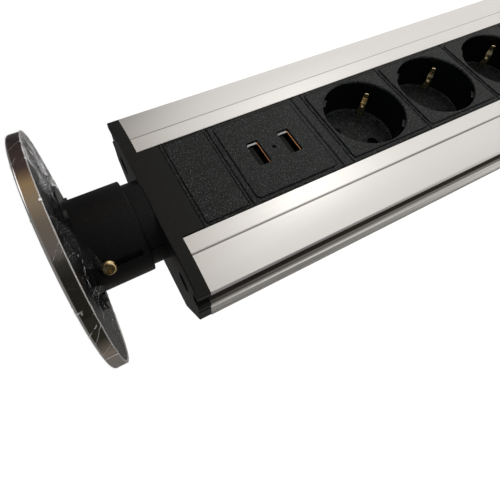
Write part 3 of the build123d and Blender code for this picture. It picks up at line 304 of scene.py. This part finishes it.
def finish_anodised():
    """Satin aluminium, with painted shade in the side channels and in the step along the front."""
    finish, tree, shader = new_finish("satin_anodised", Metallic=1.0, Anisotropic=0.25)
    drawn = use(tree, DRAWN)
    marks = use(tree, MARKS, Smear_Size=22.0, Scratch_Size=60.0)
    faces = tint(tree, marks["Smears"], (0.72, 0.705, 0.68), (0.78, 0.77, 0.755),
                 shader.inputs["Base Color"])
    place = split_axes(tree, object_place(tree))
    depth = total(tree, place["Y"], -FRONT_Y)
    aside = reckon(tree, "ABSOLUTE", place["X"])
    entered = ramp_between(tree, depth, CHANNEL_FROM, CHANNEL_FROM + 0.0006)
    left = ramp_between(tree, depth, CHANNEL_TO, CHANNEL_TO - 0.0006)
    outer = ramp_between(tree, aside, CHANNEL_FLOOR, CHANNEL_FLOOR + 0.001)
    step = multiply(tree, ramp_between(tree, depth, 0.00008, 0.0003),
                    ramp_between(tree, aside, STEP_ASIDE, STEP_ASIDE - 0.0003))
    # Painted shade: brown-grey darkening in the side channels, and at 0.8 strength in the front step
    painted_recess_shade = node(tree, "ShaderNodeMixRGB", Color2=(0.18, 0.168, 0.155, 1))
    channel = multiply(tree, multiply(tree, entered, left), outer)
    link(tree, total(tree, channel, multiply(tree, step, 0.8)), painted_recess_shade.inputs["Fac"])
    link(tree, faces.outputs["Color"], painted_recess_shade.inputs["Color1"])
    link(tree, painted_recess_shade.outputs["Color"], shader.inputs["Base Color"])
    rough = total(tree, multiply(tree, drawn["Lines"], 0.16), multiply(tree, marks["Smears"], 0.16))
    link(tree, total(tree, rough, 0.24), shader.inputs["Roughness"])
    height = total(tree, drawn["Lines"], multiply(tree, drawn["Grain"], 0.5))
    bumped(tree, height, 0.12, 0.00006, shader.inputs["Normal"])
    return finish


def finish_module(has_well=False):
    """Spark-textured black plastic; inside a socket's well the walls are glossy."""
    finish, tree, shader = new_finish("spark_black_with_well" if has_well else "spark_black",
                                      Specular_IOR_Level=0.2)
    spark = use(tree, SPARK, Grain=2300.0, Fleck_Share=0.26)
    colour = tint(tree, spark["Flecks"], (0.0016, 0.002, 0.002), (0.15, 0.172, 0.167),
                  shader.inputs["Base Color"])
    if not has_well:
        vary(tree, spark["Height"], 0.36, 0.52, shader.inputs["Roughness"])
        bumped(tree, spark["Height"], 0.8, 0.00014, shader.inputs["Normal"])
        return finish
    facing = split_axes(tree, node(tree, "ShaderNodeNewGeometry").outputs["Normal"])
    place = split_axes(tree, object_place(tree))
    inside = ramp_between(tree, place["Y"], FRONT_Y + 0.0001, FRONT_Y + 0.0007)
    wall = ramp_between(tree, facing["Y"], -0.8, -0.4)
    glossy = multiply(tree, inside, wall)
    vary(tree, glossy, 0.5, 0.16, shader.inputs["Roughness"])
    textured = reckon(tree, "SUBTRACT", 1.0, glossy)
    link(tree, multiply(tree, spark["Flecks"], textured), colour.inputs["Fac"])
    bumped(tree, multiply(tree, spark["Height"], textured), 0.55, 0.00012, shader.inputs["Normal"])
    return finish


def finish_satin(name, base, fleck, rough, grain, share=0.3, depth=0.00006, specular=0.2):
    """Black paint or plastic with a soft sheen and faint grains."""
    finish, tree, shader = new_finish(name, Specular_IOR_Level=specular)
    spark = use(tree, SPARK, Grain=grain, Fleck_Share=share)
    marks = use(tree, MARKS, Smear_Size=35.0, Scratch_Size=90.0)
    tint(tree, spark["Flecks"], base, fleck, shader.inputs["Base Color"])
    vary(tree, marks["Smears"], rough - 0.08, rough + 0.1, shader.inputs["Roughness"])
    bumped(tree, spark["Height"], 0.35, depth, shader.inputs["Normal"])
    return finish


def finish_metal(name, base, worn, rough, lines=0.3):
    """Plain metal with handling marks."""
    finish, tree, shader = new_finish(name, Metallic=1.0)
    marks = use(tree, MARKS, Smear_Size=140.0, Scratch_Size=400.0)
    tint(tree, marks["Smears"], base, worn, shader.inputs["Base Color"])
    vary(tree, marks["Smears"], rough * 0.6, rough * 1.5, shader.inputs["Roughness"])
    height = total(tree, marks["Scratches"], marks["Smears"])
    bumped(tree, height, lines, 0.00003, shader.inputs["Normal"])
    return finish


def finish_polished():
    """Mirror steel with a brown cast in its reflections and small waves from the pressing."""
    finish, tree, shader = new_finish("polished_steel", Metallic=1.0)
    marks = use(tree, MARKS, Smear_Size=26.0, Scratch_Size=150.0)
    tint(tree, marks["Smears"], (0.56, 0.52, 0.48), (0.66, 0.63, 0.6), shader.inputs["Base Color"])
    vary(tree, marks["Scratches"], 0.05, 0.3, shader.inputs["Roughness"])
    bumped(tree, marks["Smears"], 0.14, 0.0005, shader.inputs["Normal"])
    return finish


def finish_port():
    """Port shell with painted light: painted shade darkens its steel, a painted highlight whitens its
    end wall, and a painted warm reflection lies on its lower long wall.
    """
    finish, tree, shader = new_finish("port_with_painted_light", Metallic=1.0)
    marks = use(tree, MARKS, Smear_Size=300.0, Scratch_Size=900.0)
    facing = split_axes(tree, node(tree, "ShaderNodeNewGeometry").outputs["Normal"])
    place = split_axes(tree, object_place(tree))
    mouth = ramp_between(tree, place["Y"], PORT_FRONT_Y + 0.0016, PORT_FRONT_Y + 0.0012)
    lip = ramp_between(tree, place["Y"], PORT_FRONT_Y + 0.0008, PORT_FRONT_Y + 0.0005)
    end_wall = multiply(tree, ramp_between(tree, facing["X"], -0.4, -0.7), mouth)
    long_wall = multiply(tree, ramp_between(tree, facing["Z"], 0.4, 0.7), lip)
    # Painted shade on the shell's steel, and a painted white highlight on the end wall near the mouth
    port_shade_and_glint = tint(tree, end_wall, (0.015, 0.015, 0.016), (1.0, 1.0, 1.0),
                  shader.inputs["Base Color"])
    # Painted warm reflection in copper on the lower long wall near the lip; both painted places are
    # made diffuse
    painted_warm_reflection = node(tree, "ShaderNodeMixRGB", Color2=(0.9, 0.4, 0.18, 1))
    link(tree, long_wall, painted_warm_reflection.inputs["Fac"])
    link(tree, port_shade_and_glint.outputs["Color"], painted_warm_reflection.inputs["Color1"])
    link(tree, painted_warm_reflection.outputs["Color"], shader.inputs["Base Color"])
    vary(tree, total(tree, end_wall, long_wall), 1.0, 0.0, shader.inputs["Metallic"])
    vary(tree, marks["Smears"], 0.25, 0.5, shader.inputs["Roughness"])
    return finish


def finish_moulded(name, base, light, rough, specular=0.5):
    """Smooth moulded plastic or rubber with slight colour variation."""
    finish, tree, shader = new_finish(name, Specular_IOR_Level=specular)
    marks = use(tree, MARKS, Smear_Size=90.0, Scratch_Size=250.0)
    tint(tree, marks["Smears"], base, light, shader.inputs["Base Color"])
    vary(tree, marks["Smears"], rough - 0.06, rough + 0.08, shader.inputs["Roughness"])
    bumped(tree, marks["Smears"], 0.1, 0.00005, shader.inputs["Normal"])
    return finish


FINISHES = {
    "anodised_aluminium": finish_anodised(),
    "black_end_cap": finish_satin(
        "end_cap_black", (0.004, 0.0042, 0.0042), (0.013, 0.013, 0.013), 0.42, 1900.0),
    "black_module": finish_module(),
    "dark_screw": finish_metal("black_zinc", (0.06, 0.06, 0.062), (0.12, 0.12, 0.115), 0.3),
    "clear_plastic": finish_moulded(
        "light_pipe", (0.002, 0.002, 0.002), (0.004, 0.004, 0.004), 0.5, 0.05),
    "port_steel": finish_port(),
    "black_insulator": finish_moulded(
        "moulded_black", (0.004, 0.004, 0.004), (0.008, 0.008, 0.008), 0.5, 0.12),
    "grey_insulator": finish_moulded("moulded_grey", (0.2, 0.2, 0.205), (0.27, 0.27, 0.27), 0.42),
    "brass_contact": finish_metal("bright_brass", (1.0, 0.74, 0.38), (1.0, 0.88, 0.58), 0.2, 0.2),
    "brass_screw": finish_metal("screw_brass", (0.5, 0.36, 0.17), (0.8, 0.62, 0.36), 0.16, 0.6),
    "circuit_board": finish_moulded("solder_mask", (0.01, 0.07, 0.03), (0.02, 0.11, 0.045), 0.25),
    "plated_screw": finish_metal("zinc_plate", (0.5, 0.5, 0.5), (0.68, 0.68, 0.67), 0.25),
    "wire_insulation": finish_moulded(
        "wire_red", (0.28, 0.02, 0.015), (0.36, 0.035, 0.025), 0.35),
    "satin_black": finish_satin(
        "neck_black", (0.005, 0.005, 0.0055), (0.015, 0.015, 0.0145), 0.36, 1700.0, 0.2, specular=0.13),
    "spring_steel": finish_metal("spring_wire", (0.3, 0.29, 0.28), (0.45, 0.44, 0.42), 0.3),
    "polished_steel": finish_polished(),
    "black_rubber": finish_moulded(
        "inlet_rubber", (0.008, 0.008, 0.008), (0.014, 0.014, 0.014), 0.6, 0.3),
}
SOCKET_FINISH = finish_module(has_well=True)


def finish_film():
    """Clear film: nearly unseen when looked through, bright at glancing angles, with painted highlights
    on its folds and glints, and painted light on the far half of its crumpled underside.
    """
    finish, tree, shader = new_finish("clear_film", Specular_IOR_Level=1.0)
    folds = use(tree, FOLDS)
    place = split_axes(tree, object_place(tree))
    # Painted light: the underside's far half is whitened, facet by facet
    below = ramp_between(tree, place["Z"], (UNDERSIDE_Z + 0.5) * MM, (UNDERSIDE_Z + 0.2) * MM)
    far_half = ramp_between(tree, place["X"], -0.004, 0.012)
    facets = total(tree, multiply(tree, folds["Facets"], 0.75), 0.25)
    underside_painted_light = multiply(tree, multiply(tree, below, far_half), facets)
    # Painted highlights on folds and glints, with the underside's painted light, whiten the film and
    # make it less clear
    painted_highlights = total(tree, total(tree, folds["Folds"], folds["Glints"]), underside_painted_light)
    tint(tree, painted_highlights, (0.06, 0.06, 0.06), (0.9, 0.9, 0.93), shader.inputs["Base Color"])
    vary(tree, folds["Slack"], 0.02, 0.14, shader.inputs["Roughness"])
    glance = node(tree, "ShaderNodeLayerWeight", Blend=0.3)
    edge_on = reckon(tree, "POWER", glance.outputs["Facing"], 4.0)
    wisps = multiply(tree, ramp_between(tree, folds["Slack"], 0.5, 0.7), edge_on)
    veil = total(tree, multiply(tree, wisps, 0.25), multiply(tree, folds["Folds"], 0.6))
    veil = total(tree, veil, total(tree, folds["Glints"], multiply(tree, underside_painted_light, 0.7)))
    link(tree, total(tree, veil, 0.05), shader.inputs["Alpha"])
    height = total(tree, folds["Slack"], multiply(tree, folds["Folds"], 0.1))
    bumped(tree, height, 0.9, 0.0016, shader.inputs["Normal"])
    return finish


def finish_strand(name, alpha, rough):
    """Film that is gathered or creased: painted sheen makes it whiter, and less clear, along streaks.
    """
    finish, tree, shader = new_finish(name, Roughness=rough, Specular_IOR_Level=1.0)
    folds = use(tree, FOLDS, Folds_Round=40.0, Slant=20.0)
    # Painted sheen: the base colour whitens with the slack, and streaks of folds and slack make the
    # film less clear
    tint(tree, folds["Slack"], (0.3, 0.3, 0.3), (0.8, 0.8, 0.8), shader.inputs["Base Color"])
    sheen_streaks = total(tree, multiply(tree, folds["Folds"], 0.6), multiply(tree, folds["Slack"], 0.13))
    link(tree, total(tree, sheen_streaks, alpha), shader.inputs["Alpha"])
    return finish


FILM_FINISH = finish_film()
BEAD_FINISH = finish_strand("film_roll", 0.3, 0.12)
FLAP_FINISH = finish_strand("film_loose", -0.045, 0.1)

slot_of = {part["node"]: part["material_slot"] for part in frame["record"]["subparts"]}
for name, cad_object in nodes.items():
    finish = FINISHES.get(slot_of.get(name, ""), None)
    if name.startswith("socket_face"):
        finish = SOCKET_FINISH
    if name == "cap_screws":
        finish = FINISHES["dark_screw"]
    if finish is None:
        continue
    cad_object.data.materials.clear()
    cad_object.data.materials.append(finish)


# Cap and film: round sheets drawn out ring by ring. Sizes in millimetres, angles in degrees.

SIDES = 320
CAP_RADIUS = CAP_HIGH.x / MM
CAP_METAL = 1.2
CAP_EDGE = 1.0
CAP_LIP = 0.3
FILM_FREE_EDGE = 27.4
FILM_TUCK = 48.6
FILM_RAGGED = 5.0
FILM_SAG = (0.25, 1.9)
FILM_ROUND = [(48.9, UNDERSIDE_Z), (49.18, UNDERSIDE_Z + 0.1), (49.2, UNDERSIDE_Z + 0.5)]
UNDERSIDE_STEP = 0.72
RIM_STEP = 0.5
TOP_STEP = 1.5
RIM_RADIUS = 49.2
RIM_FOLDS = (-74.0, -87.5, -100.5, -104.0, -128.0, -149.0, -171.0, 30.0, 75.0, 140.0)
RIM_FOLD_WIDTH = 1.3
RIM_FOLD_LIFT = 0.2
RIM_SLACK = (-0.12, 0.14)
TOP_SLACK = (-0.07, 0.14)
TOP_Z = FILM_HIGH.z / MM - 0.16
BEAD_RADIUS = 49.1
BEAD_SIZE = 0.14
FLAP_START = 47.6


def quarter(centre_r, centre_z, radius, start, steps=5):
    """Rings of a quarter round, from a start angle and on by 90 degrees."""
    turns = [radians(start + 90.0 * step / steps) for step in range(steps + 1)]
    return [(centre_r + radius * cos(turn), centre_z + radius * sin(turn)) for turn in turns]


def cap_profile():
    """Radius and height of each ring of the pressed cap, from below its top round its rim to
    the middle of its top."""
    low = CAP_LOW.z / MM
    high = CAP_HIGH.z / MM
    inner = CAP_RADIUS - CAP_METAL
    rings = [(inner, high - CAP_METAL), (inner, low + CAP_LIP + 0.1)]
    rings += quarter(inner + CAP_LIP, low + CAP_LIP, CAP_LIP, 180.0)
    rings += quarter(CAP_RADIUS - CAP_LIP, low + CAP_LIP, CAP_LIP, 270.0)
    rings += [(CAP_RADIUS, low + CAP_LIP + 0.1), (CAP_RADIUS, high - CAP_EDGE - 0.1)]
    rings += quarter(CAP_RADIUS - CAP_EDGE, high - CAP_EDGE, CAP_EDGE, 0.0, 8)
    rings += [(CAP_RADIUS - CAP_EDGE - 0.2, high), (32.0, high), (16.0, high), (4.0, high)]
    return rings


def film_profile():
    """Radius and height of each ring of the film, from its free edge below the cap to the
    middle of its top."""
    rings = [(FILM_FREE_EDGE + UNDERSIDE_STEP * step, UNDERSIDE_Z) for step in range(30)]
    rings += FILM_ROUND
    rings += [(RIM_RADIUS, UNDERSIDE_Z + 1.0 + RIM_STEP * step) for step in range(8)]
    rings += [(49.15, TOP_Z - 0.25), (48.8, TOP_Z - 0.05)]
    rings += [(48.0 - TOP_STEP * step, TOP_Z) for step in range(32)]
    return rings


def add_ringed_sheet(name, rings, fill="NOTHING"):
    """A round sheet drawn out ring by ring from an open edge or a filled disc, and closed at
    its middle."""
    first_radius, first_z = rings[0]
    bpy.ops.mesh.primitive_circle_add(vertices=SIDES, radius=first_radius * MM, fill_type=fill,
                                      location=(0, 0, first_z * MM))
    sheet = bpy.context.object
    sheet.name = name
    bpy.ops.object.transform_apply(location=True, rotation=True, scale=True)
    bpy.ops.object.mode_set(mode="EDIT")
    bpy.ops.mesh.select_all(action="SELECT")
    for (radius, z), (next_radius, next_z) in zip(rings, rings[1:]):
        bpy.ops.mesh.extrude_edges_move(TRANSFORM_OT_translate={"value": (0, 0, (next_z - z) * MM)})
        share = next_radius / radius
        bpy.ops.transform.resize(value=(share, share, 1), center_override=(0, 0, next_z * MM))
    bpy.ops.mesh.merge(type="CENTER")
    bpy.ops.mesh.select_all(action="SELECT")
    bpy.ops.mesh.normals_make_consistent(inside=False)
    bpy.ops.object.mode_set(mode="OBJECT")
    return sheet


def held(value, limits):
    """A value kept between two limits."""
    return min(limits[1], max(limits[0], value))


def crumple(point, size, seed):
    """Sharp-ridged folds from 0 to 1, about size millimetres apart."""
    value = 0.0
    share = 1.0
    for octave in range(3):
        sample = noise.noise(point / size * (2.0 ** octave) + Vector((seed, seed * 0.7, octave * 3.1)))
        value += share * (1.0 - abs(sample) * 2.2)
        share *= 0.5
    return value / 1.75


def finished(piece, finish, body):
    """Smooth shading, a finish, and the body that the piece moves with."""
    piece.data.materials.append(finish)
    bpy.ops.object.select_all(action="DESELECT")
    piece.select_set(True)
    bpy.context.view_layer.objects.active = piece
    bpy.ops.object.shade_smooth()
    piece.select_set(False)
    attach(piece, body)


def make_cap():
    """The pressed cap in one smooth skin, so that its mirror has no facets."""
    cap = add_ringed_sheet("steel_cap", cap_profile(), "NGON")
    finished(cap, FINISHES["polished_steel"], "cap")
    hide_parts("cap_disc")


def rim_ridge(turn):
    """How far a rim fold lifts the film at an angle in degrees, from 0 to 1."""
    lift = 0.0
    for fold in RIM_FOLDS:
        away = abs((turn - fold + 180.0) % 360.0 - 180.0)
        lift = max(lift, 1.0 - away / RIM_FOLD_WIDTH)
    return lift


def make_film():
    """The sheet with its folds: tight on the top and the rim, loose and ragged below."""
    film = add_ringed_sheet("film_wrap", film_profile())
    for vertex in film.data.vertices:
        place = vertex.co / MM
        radius = Vector((place.x, place.y)).length
        if radius < 0.01:
            continue
        outward = Vector((place.x, place.y, 0)) / radius
        around = Vector((outward.x * 9.0, outward.y * 9.0, 0))
        if place.z < UNDERSIDE_Z + 0.05:
            loose = max(0.0, (FILM_TUCK - radius) / (FILM_TUCK - FILM_FREE_EDGE))
            tear = max(0.0, noise.noise(around * 0.9 + Vector((4.0, 1.0, 2.0))))
            fold = crumple(Vector((place.x, place.y, 0)), 9.0, 2.3)
            sag = FILM_SAG[0] + FILM_SAG[1] * loose
            place += outward * (FILM_RAGGED * tear * loose ** 3)
            place.z -= sag * max(0.0, fold) * min(1.0, loose * 6.0 + 0.1)
        elif place.z < TOP_Z - 0.3:
            turn = degrees(atan2(place.y, place.x)) + 1.5 * (place.z - UNDERSIDE_Z)
            fold = crumple(Vector((around.x, around.y, place.z * 0.35)), 5.0, 7.7)
            lift = max(RIM_SLACK[0], 0.3 * (fold - 0.45)) + RIM_FOLD_LIFT * rim_ridge(turn)
            place += outward * min(RIM_SLACK[1], lift)
        else:
            fold = crumple(Vector((place.x, place.y, 0)), 16.0, 11.0)
            place.z += held(0.3 * (fold - 0.5), TOP_SLACK)
        vertex.co = place * MM
    finished(film, FILM_FINISH, "cap")
    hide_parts("protective_film")


def add_bead():
    """The film's edge gathered in a fine roll where it turns under the rim."""
    bpy.ops.mesh.primitive_torus_add(major_segments=SIDES, minor_segments=8,
                                     major_radius=BEAD_RADIUS * MM, minor_radius=BEAD_SIZE * MM,
                                     location=(0, 0, (UNDERSIDE_Z + 0.12) * MM))
    bead = bpy.context.object
    bead.name = "film_bead"
    bpy.ops.object.transform_apply(location=True, rotation=True, scale=True)
    for vertex in bead.data.vertices:
        outward = Vector((vertex.co.x, vertex.co.y, 0)).normalized()
        wander = noise.noise(outward * 14.0 + Vector((1.0, 6.0, 3.0)))
        vertex.co += (outward * 0.05 * wander + Vector((0, 0, 0.12 * wander))) * MM
    finished(bead, BEAD_FINISH, "cap")


def rim_place(turn):
    """A point under the rim at an angle in degrees, where a loose tongue of film starts."""
    return Vector((FLAP_START * cos(radians(turn)), FLAP_START * sin(radians(turn)),
                   UNDERSIDE_Z - 0.15))


def add_flap(name, rim_turns, neck_turn, neck_radius, neck_z, sag):
    """A loose tongue of film, gathered towards the neck, with ridges that run to its tip."""
    bpy.ops.mesh.primitive_grid_add(x_subdivisions=28, y_subdivisions=40, size=2.0)
    flap = bpy.context.object
    flap.name = name
    tip = Vector((neck_radius * cos(radians(neck_turn)), neck_radius * sin(radians(neck_turn)),
                  neck_z))
    middle = rim_place(sum(rim_turns) / 2.0)
    for vertex in flap.data.vertices:
        across = (vertex.co.x + 1.0) / 2.0
        along = (vertex.co.y + 1.0) / 2.0
        start = rim_place(rim_turns[0] + (rim_turns[1] - rim_turns[0]) * across)
        narrow = 0.16 + 0.84 * (1.0 - along) ** 1.2
        ridge = 0.55 * noise.noise(Vector((across * 7.0, along * 0.8, 5.0))) * (0.3 + along)
        place = middle.lerp(tip, along) + (start - middle) * narrow
        place.z -= sag * 4.0 * along * (1.0 - along) + max(-0.1, ridge)
        place.z = min(place.z, UNDERSIDE_Z - 0.1)
        vertex.co = place * MM
    finished(flap, FLAP_FINISH, "cap")


# Earth strips: radius from the well's middle and depth behind the front, in millimetres

STRIP_METAL = 0.7
STRIP_TURN = -45.0
STRIP_ARM = [(17.6, 16.5), (17.0, 14.0), (15.0, 10.6), (16.9, 6.4), (17.1, 4.6), (16.2, 3.3)]
STRIP_BULGES = [(11.4, 0.9), (14.6, 0.8)]
BULGE_REACH = 1.2


def smoothed(path, times):
    """Rounds the corners of a path by cutting them again and again."""
    for _ in range(times):
        cut = [path[0]]
        for first, second in zip(path, path[1:]):
            cut += [first.lerp(second, 0.25), first.lerp(second, 0.75)]
        path = cut + [path[-1]]
    return path


def strip_half_width(depth, from_end):
    """Half the strip's width: wider towards its foot, rounded off at its ends."""
    width = 1.3 + 0.4 * held((depth - 6.0) / 3.0, (0.0, 1.0))
    if from_end < 1.0:
        width *= max(0.25, (1.0 - (1.0 - from_end) ** 2) ** 0.5)
    return width


def add_earth_strip(number):
    """The bent earth strip of a socket, with rounded ends and pressed bulges that meet the plug."""
    low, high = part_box(f"earth_clip_{number}")
    centre_z = (low.z + high.z) / 2 / MM
    base = high.y / MM - FRONT_Y / MM - STRIP_METAL / 2
    corners = [(-radius, depth) for radius, depth in reversed(STRIP_ARM)]
    corners += [(-17.6, base - 1.0), (-17.0, base), (17.0, base), (17.6, base - 1.0)] + STRIP_ARM
    path = smoothed([Vector(corner) for corner in corners], 3)
    outward = Vector((cos(radians(STRIP_TURN)), 0, sin(radians(STRIP_TURN))))
    across = Vector((-outward.z, 0, outward.x))
    bpy.ops.mesh.primitive_grid_add(x_subdivisions=8, y_subdivisions=len(path) - 1, size=2.0)
    strip = bpy.context.object
    strip.name = f"earth_strip_{number}"
    for vertex in strip.data.vertices:
        share = vertex.co.x
        here = path[round((vertex.co.y + 1.0) / 2.0 * (len(path) - 1))]
        radius, depth = here
        from_end = min((path[0] - here).length, (path[-1] - here).length)
        bulge = sum(height * max(0.0, 1.0 - ((depth - centre) / BULGE_REACH) ** 2)
                    for centre, height in STRIP_BULGES) * (1.0 - share * share)
        if depth < base - 2.0:
            radius -= bulge if radius > 0 else -bulge
        place = Vector((0, FRONT_Y / MM + depth, centre_z)) + outward * radius
        place += across * (strip_half_width(depth, from_end) * share)
        vertex.co = place * MM
    thick = strip.modifiers.new("thick", "SOLIDIFY")
    thick.thickness = STRIP_METAL * MM
    thick.offset = 0.0
    bpy.ops.object.modifier_apply(modifier="thick")
    finished(strip, FINISHES["brass_contact"], "column")
    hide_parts(f"earth_clip_{number}")


make_cap()
make_film()
for number in (1, 2, 3):
    add_earth_strip(number)
add_bead()
add_flap("film_flap", (-106.0, -128.0), -147.0, 25.5, 304.6, 1.2)
add_flap("film_strand", (-136.0, -141.0), -168.0, 24.0, 303.0, 0.6)


# Studio: floor, soft lights, room and the photograph's camera

# Middles of the floor's painted shadows and painted pools of light, which only reflections see, in
# metres
PAINTED_SHADOW_SPOT = (-0.16, -0.14, 0.0)
PAINTED_SHADOW_BEHIND = (-0.2, 0.4, 0.0)
PAINTED_LIGHT_MIDDLE = (0.1, -0.8, 0.0)
PAINTED_LIGHT_FRONT = (0.15, -1.5, 0.0)


def distance_from(tree, place, point):
    """How far a place is from a point."""
    made = node(tree, "ShaderNodeVectorMath", operation="DISTANCE")
    link(tree, place, made.inputs[0])
    made.inputs[1].default_value = point
    return made.outputs["Value"]


def finish_floor():
    """Pale matt floor to the eye. Reflections see a painted glow on it instead, bright in front of
    the column, with painted shadows beside and behind it."""
    finish, tree, shader = new_finish("floor_white", Roughness=0.9, Specular_IOR_Level=0.1,
                                      Emission_Strength=0.3)
    place = object_place(tree)
    slow = node(tree, "ShaderNodeTexNoise", Scale=6.0, Detail=3.0)
    link(tree, place, slow.inputs["Vector"])
    tint(tree, slow.outputs["Fac"], (0.80, 0.80, 0.795), (0.84, 0.84, 0.835),
         shader.inputs["Base Color"])
    shader.inputs["Emission Color"].default_value = (1.0, 0.99, 0.975, 1)
    glow = node(tree, "ShaderNodeEmission", Color=(1, 1, 1, 1), Strength=0.5)
    both = tree.nodes.new("ShaderNodeAddShader")
    link(tree, shader.outputs["BSDF"], both.inputs[0])
    link(tree, glow.outputs["Emission"], both.inputs[1])
    # Painted light and shadow, seen only by reflections: glowing pools in front of the column, painted
    # shadows beside and behind it
    lit = ramp_between(tree, distance_from(tree, place, PAINTED_SHADOW_SPOT), 0.0, 0.13)
    behind = ramp_between(tree, distance_from(tree, place, PAINTED_SHADOW_BEHIND), 0.15, 0.45)
    near = ramp_between(tree, distance_from(tree, place, PAINTED_LIGHT_MIDDLE), 1.5, 0.9)
    front = ramp_between(tree, distance_from(tree, place, PAINTED_LIGHT_FRONT), 0.8, 0.3)
    level = total(tree, total(tree, multiply(tree, near, 0.7), 0.26), multiply(tree, front, 0.5))
    beside = total(tree, multiply(tree, lit, 0.9), 0.1)
    beyond = total(tree, multiply(tree, behind, 0.65), 0.35)
    strength = multiply(tree, multiply(tree, beside, beyond), level)
    mirrored = node(tree, "ShaderNodeEmission", Color=(1.0, 0.98, 0.955, 1))
    link(tree, strength, mirrored.inputs["Strength"])
    seen = tree.nodes.new("ShaderNodeMixShader")
    link(tree, tree.nodes.new("ShaderNodeLightPath").outputs["Is Camera Ray"], seen.inputs["Fac"])
    link(tree, mirrored.outputs["Emission"], seen.inputs[1])
    link(tree, both.outputs["Shader"], seen.inputs[2])
    out = [made for made in tree.nodes if made.type == "OUTPUT_MATERIAL"][0]
    link(tree, seen.outputs["Shader"], out.inputs["Surface"])
    return finish


bpy.ops.mesh.primitive_plane_add(size=12.0, location=(0, 0, -0.0002))
floor = bpy.context.object
floor.name = "floor"
floor.data.materials.append(finish_floor())


def soft_light(name, place, aim, size, power, colour=(1, 1, 1)):
    """A square soft light that looks at a point."""
    bpy.ops.object.light_add(type="AREA", location=place)
    lamp = bpy.context.object
    lamp.name = name
    lamp.data.shape = "RECTANGLE"
    lamp.data.size, lamp.data.size_y = size
    lamp.data.energy = power
    lamp.data.color = colour
    direction = Vector(aim) - Vector(place)
    lamp.rotation_euler = direction.to_track_quat("-Z", "Y").to_euler()
    return lamp


key = soft_light("key", (-0.7, -1.0, 1.0), (0, 0, 0.2), (0.9, 0.9), 9.0, (1.0, 0.985, 0.96))
key.visible_glossy = False
soft_light("fill", (0.9, -0.8, 1.3), (0, 0, 0.15), (0.8, 0.8), 3.5, (0.97, 0.98, 1.0))
top = soft_light("top", (0.1, 0.2, 1.3), (0, 0, 0.2), (0.8, 0.8), 3.0)
top.visible_glossy = False
bounce = soft_light("bounce", (0.15, -0.35, 0.012), (-0.01, -0.02, 0.19), (0.1, 0.1), 0.16,
                    (1.0, 0.99, 0.97))
bounce.visible_camera = False

# What stands round the set, by compass direction. It is only seen as a reflection, low on
# polished steel.
WALL_COLOURS = [
    (0.000, (0.020, 0.020, 0.015)),
    (0.110, (0.020, 0.020, 0.017)),
    (0.150, (0.050, 0.048, 0.045)),
    (0.172, (0.170, 0.155, 0.145)),
    (0.250, (0.210, 0.180, 0.150)),
    (0.300, (0.350, 0.280, 0.200)),
    (0.350, (0.400, 0.280, 0.150)),
    (0.376, (0.200, 0.140, 0.090)),
    (0.400, (0.080, 0.055, 0.050)),
    (0.530, (0.035, 0.028, 0.030)),
    (0.800, (0.200, 0.190, 0.180)),
    (0.860, (0.250, 0.220, 0.190)),
    (0.930, (0.030, 0.030, 0.022)),
]


def build_room():
    """A room that lights the set with its walls and ceiling, and is plain white to the eye."""
    world = bpy.data.worlds.new("studio")
    bpy.context.scene.world = world
    world.use_nodes = True
    sky = world.node_tree
    sky.nodes.clear()
    out = sky.nodes.new("ShaderNodeOutputWorld")
    seen = node(sky, "ShaderNodeBackground", Color=(1, 1, 1, 1), Strength=1.0)
    room = node(sky, "ShaderNodeBackground", Strength=1.0)
    choose = sky.nodes.new("ShaderNodeMixShader")
    link(sky, sky.nodes.new("ShaderNodeLightPath").outputs["Is Camera Ray"], choose.inputs["Fac"])
    link(sky, room.outputs["Background"], choose.inputs[1])
    link(sky, seen.outputs["Background"], choose.inputs[2])
    link(sky, choose.outputs["Shader"], out.inputs["Surface"])
    direction = split_axes(sky, sky.nodes.new("ShaderNodeTexCoord").outputs["Generated"])
    compass = node(sky, "ShaderNodeMapRange", From_Min=-pi, From_Max=pi)
    link(sky, reckon(sky, "ARCTAN2", direction["Y"], direction["X"]), compass.inputs["Value"])
    walls = sky.nodes.new("ShaderNodeValToRGB")
    while len(walls.color_ramp.elements) < len(WALL_COLOURS):
        walls.color_ramp.elements.new(1.0)
    for element, (position, colour) in zip(walls.color_ramp.elements, WALL_COLOURS):
        element.position = position
        element.color = (*colour, 1)
    link(sky, compass.outputs["Result"], walls.inputs["Fac"])
    above = node(sky, "ShaderNodeMapRange", From_Min=0.25, From_Max=0.6)
    link(sky, direction["Z"], above.inputs["Value"])
    blend_up = node(sky, "ShaderNodeMixRGB", Color2=(0.3, 0.31, 0.315, 1))
    link(sky, above.outputs["Result"], blend_up.inputs["Fac"])
    link(sky, walls.outputs["Color"], blend_up.inputs["Color1"])
    link(sky, blend_up.outputs["Color"], room.inputs["Color"])


build_room()

# The camera's place, its picture's right and down, its view and its lens
CAMERA_PLACE = Vector((-96.175, -154.185, 297.811)) * MM
CAMERA_RIGHT = Vector((-0.4872771, -0.06680148, -0.87068858))
CAMERA_DOWN = Vector((-0.77096696, 0.50114454, 0.39301922))
CAMERA_AHEAD = Vector((0.41008656, 0.86278138, -0.29569798))
CAMERA_LENS = 30.0885
CAMERA_SHIFT = (-0.00167, -0.044)

camera_data = bpy.data.cameras.new("photo_camera")
camera = bpy.data.objects.new("photo_camera", camera_data)
bpy.context.scene.collection.objects.link(camera)
camera_data.sensor_width = 36.0
camera_data.lens = CAMERA_LENS
camera_data.shift_x, camera_data.shift_y = CAMERA_SHIFT
camera_data.clip_start = 0.005
turn = Matrix((CAMERA_RIGHT, -CAMERA_DOWN, -CAMERA_AHEAD)).transposed().to_4x4()
camera.matrix_world = Matrix.Translation(CAMERA_PLACE) @ turn
bpy.context.scene.camera = camera

view = bpy.context.scene.view_settings
view.view_transform = "Standard"
view.look = "None"
view.exposure = 0.0
view.gamma = 1.0
